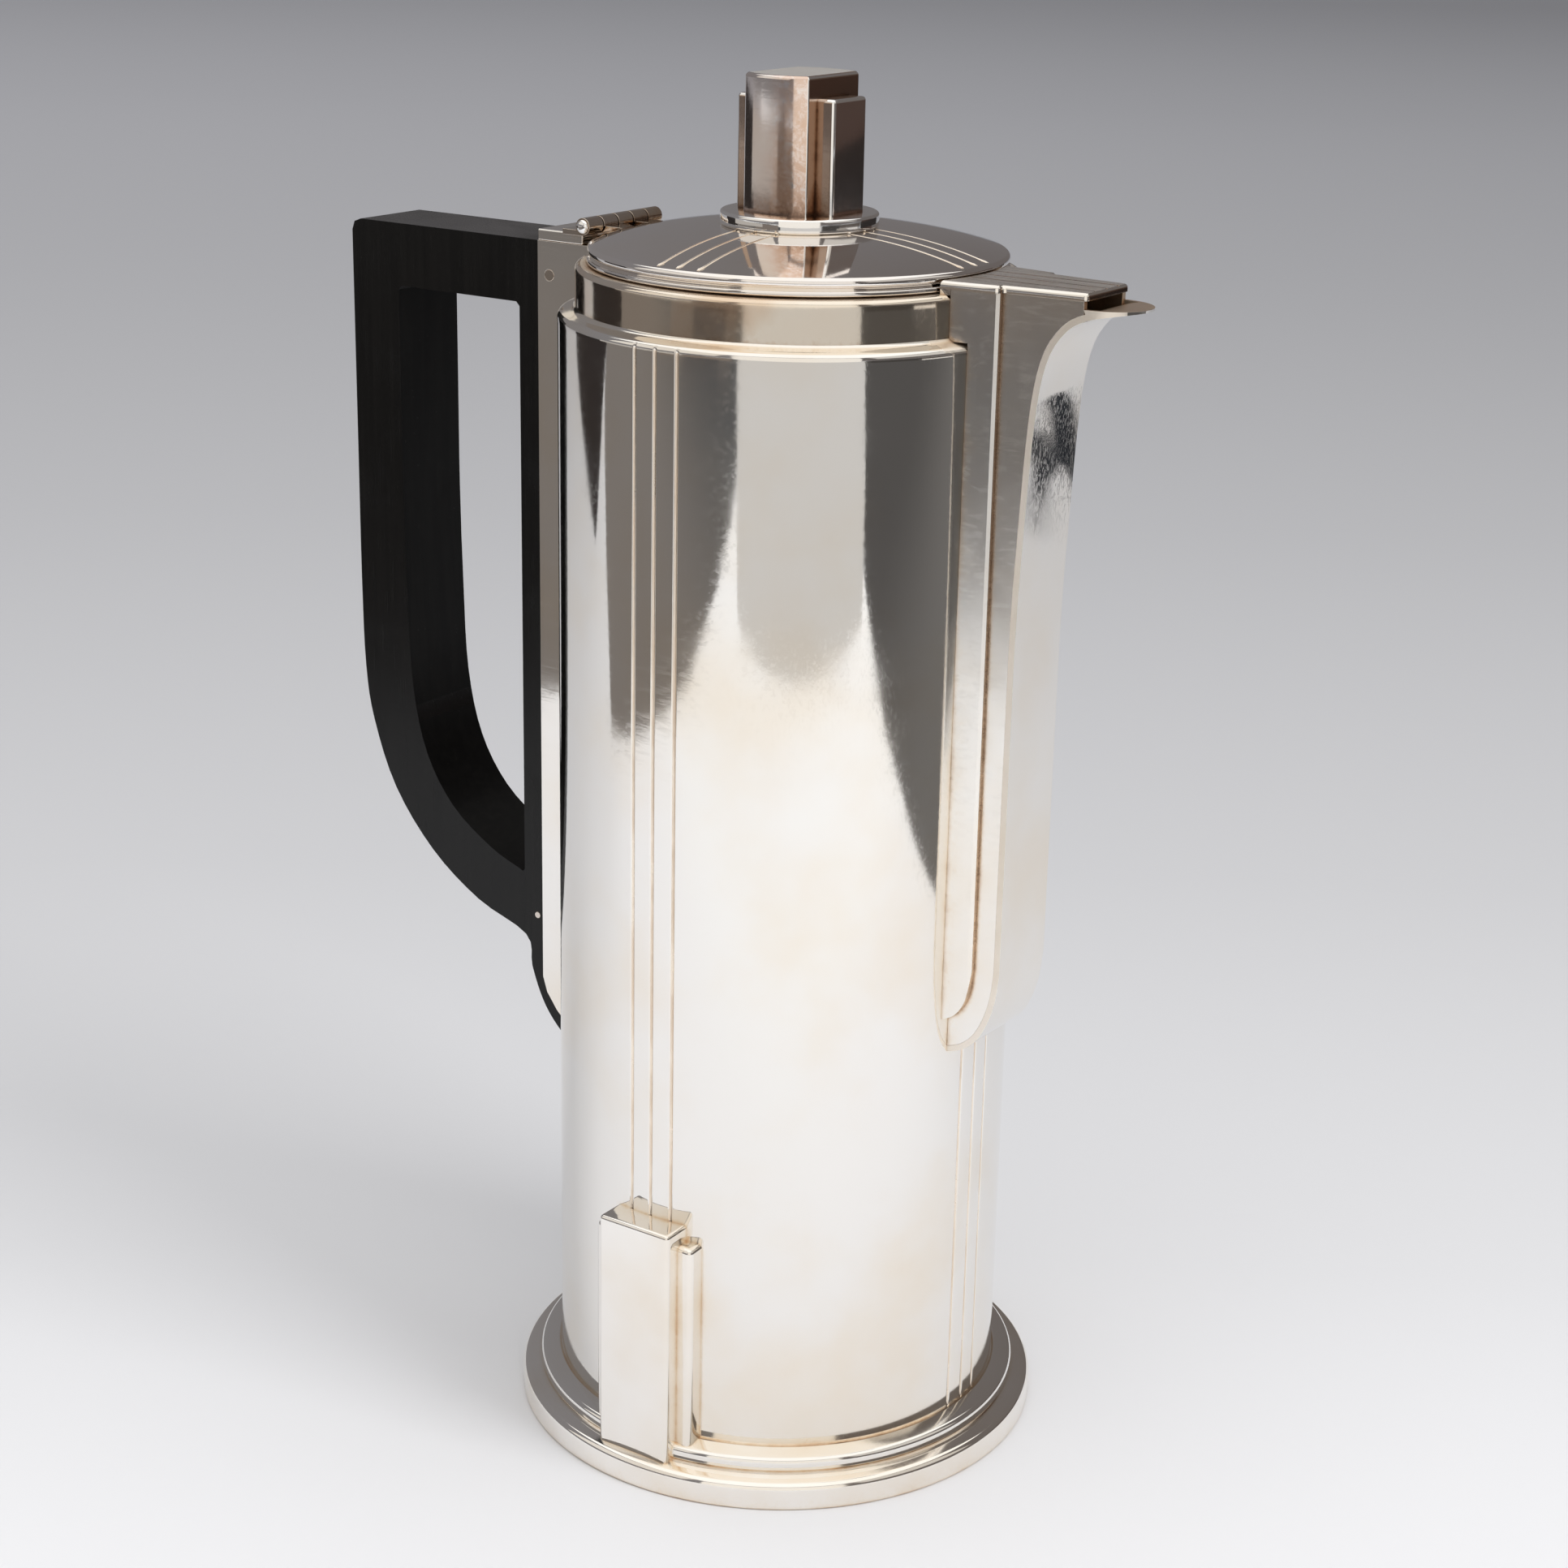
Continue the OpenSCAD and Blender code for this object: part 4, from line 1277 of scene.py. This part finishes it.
def panel(name, corners, tone, strength):
    """an upright or level glowing sheet"""
    verts = [from_camera(*corner) for corner in corners]
    return unseen(stage_mesh(name, verts, [(0, 1, 2, 3)], glow(name, tone, strength)))


# the dark end of the room beside the pot
panel("wall_right_dark", [
    (4.33, -0.76, 0.01), (3.47, -2.71, 0.01), (3.47, -2.71, 0.6), (4.33, -0.76, 0.6),
], (0.075, 0.052, 0.045, 1), 1.0)
# the soft boxes as the silver sees them
panel("softbox_top", [(-1.3, -1.15, 1.6), (1.3, -1.15, 1.6), (1.1, 1.7, 1.6), (-1.1, 1.7, 1.6)],
      (1.0, 0.985, 0.96, 1), 1.15)
panel("softbox_front", [(-1.3, 2.3, 0.01), (1.3, 2.3, 0.01), (1.1, 1.8, 1.5), (-1.1, 1.8, 1.5)],
      (1.0, 0.96, 0.90, 1), 0.95)
panel("softbox_left", [(-2.1, -0.3, 0.55), (-1.4, 1.8, 0.55), (-1.0, 1.4, 1.65), (-1.5, -0.3, 1.65)],
      (1.0, 0.95, 0.88, 1), 0.80)
panel("softbox_right", [(2.1, -0.1, 0.75), (1.4, 1.8, 0.75), (1.0, 1.4, 1.65), (1.5, -0.1, 1.65)],
      (1.0, 0.96, 0.90, 1), 0.65)

world = bpy.data.worlds.new("soft_fill")
scene.world = world
world.use_nodes = True
world.node_tree.nodes["Background"].inputs[0].default_value = (0.98, 0.985, 1.0, 1)
world.node_tree.nodes["Background"].inputs[1].default_value = 0.74
world.cycles_visibility.glossy = False
world.cycles_visibility.camera = False


def area(name, spot, target, size, power):
    """a square light that no mirror shows"""
    data = bpy.data.lights.new(name, "AREA")
    data.shape = "RECTANGLE"
    data.size = data.size_y = size
    data.energy = power
    made = linked(name, data)
    made.location = spot
    aim = Vector(target) - Vector(spot)
    made.rotation_euler = aim.to_track_quat("-Z", "Y").to_euler()
    made.visible_glossy = False
    made.visible_camera = False


area("key_right", from_camera(1.3, 0.9, 1.5), (0, 0, 0.05), 0.8, 17.0)
area("fill_top", from_camera(0.0, 0.1, 2.0), (0, 0, 0), 1.8, 8.4)

# ---------------------------------------------------------------- camera
CAMERA_FAR, CAMERA_UP = 0.5191, 0.2979
PITCH, YAW, ROLL = 0.3231, 0.0014, 0.0201
camera = bpy.data.cameras.new("camera")
camera.sensor_width = 36.0
camera.lens = 67.36
camera.clip_start = 0.01
camera.clip_end = 40
view = linked("camera", camera)
heading = AZIMUTH + YAW
level = math.cos(PITCH)
ahead = Vector((-math.sin(heading) * level, math.cos(heading) * level, -math.sin(PITCH)))
across = ahead.cross(Vector((0, 0, 1))).normalized()
above = across.cross(ahead)
right_axis = across * math.cos(ROLL) + above * math.sin(ROLL)
up_axis = above * math.cos(ROLL) - across * math.sin(ROLL)
turn = Matrix((right_axis, up_axis, -ahead)).transposed().to_4x4()
view.matrix_world = Matrix.Translation(from_camera(0, CAMERA_FAR, CAMERA_UP)) @ turn
scene.camera = view
scene.view_settings.view_transform = "Standard"
scene.view_settings.look = "None"
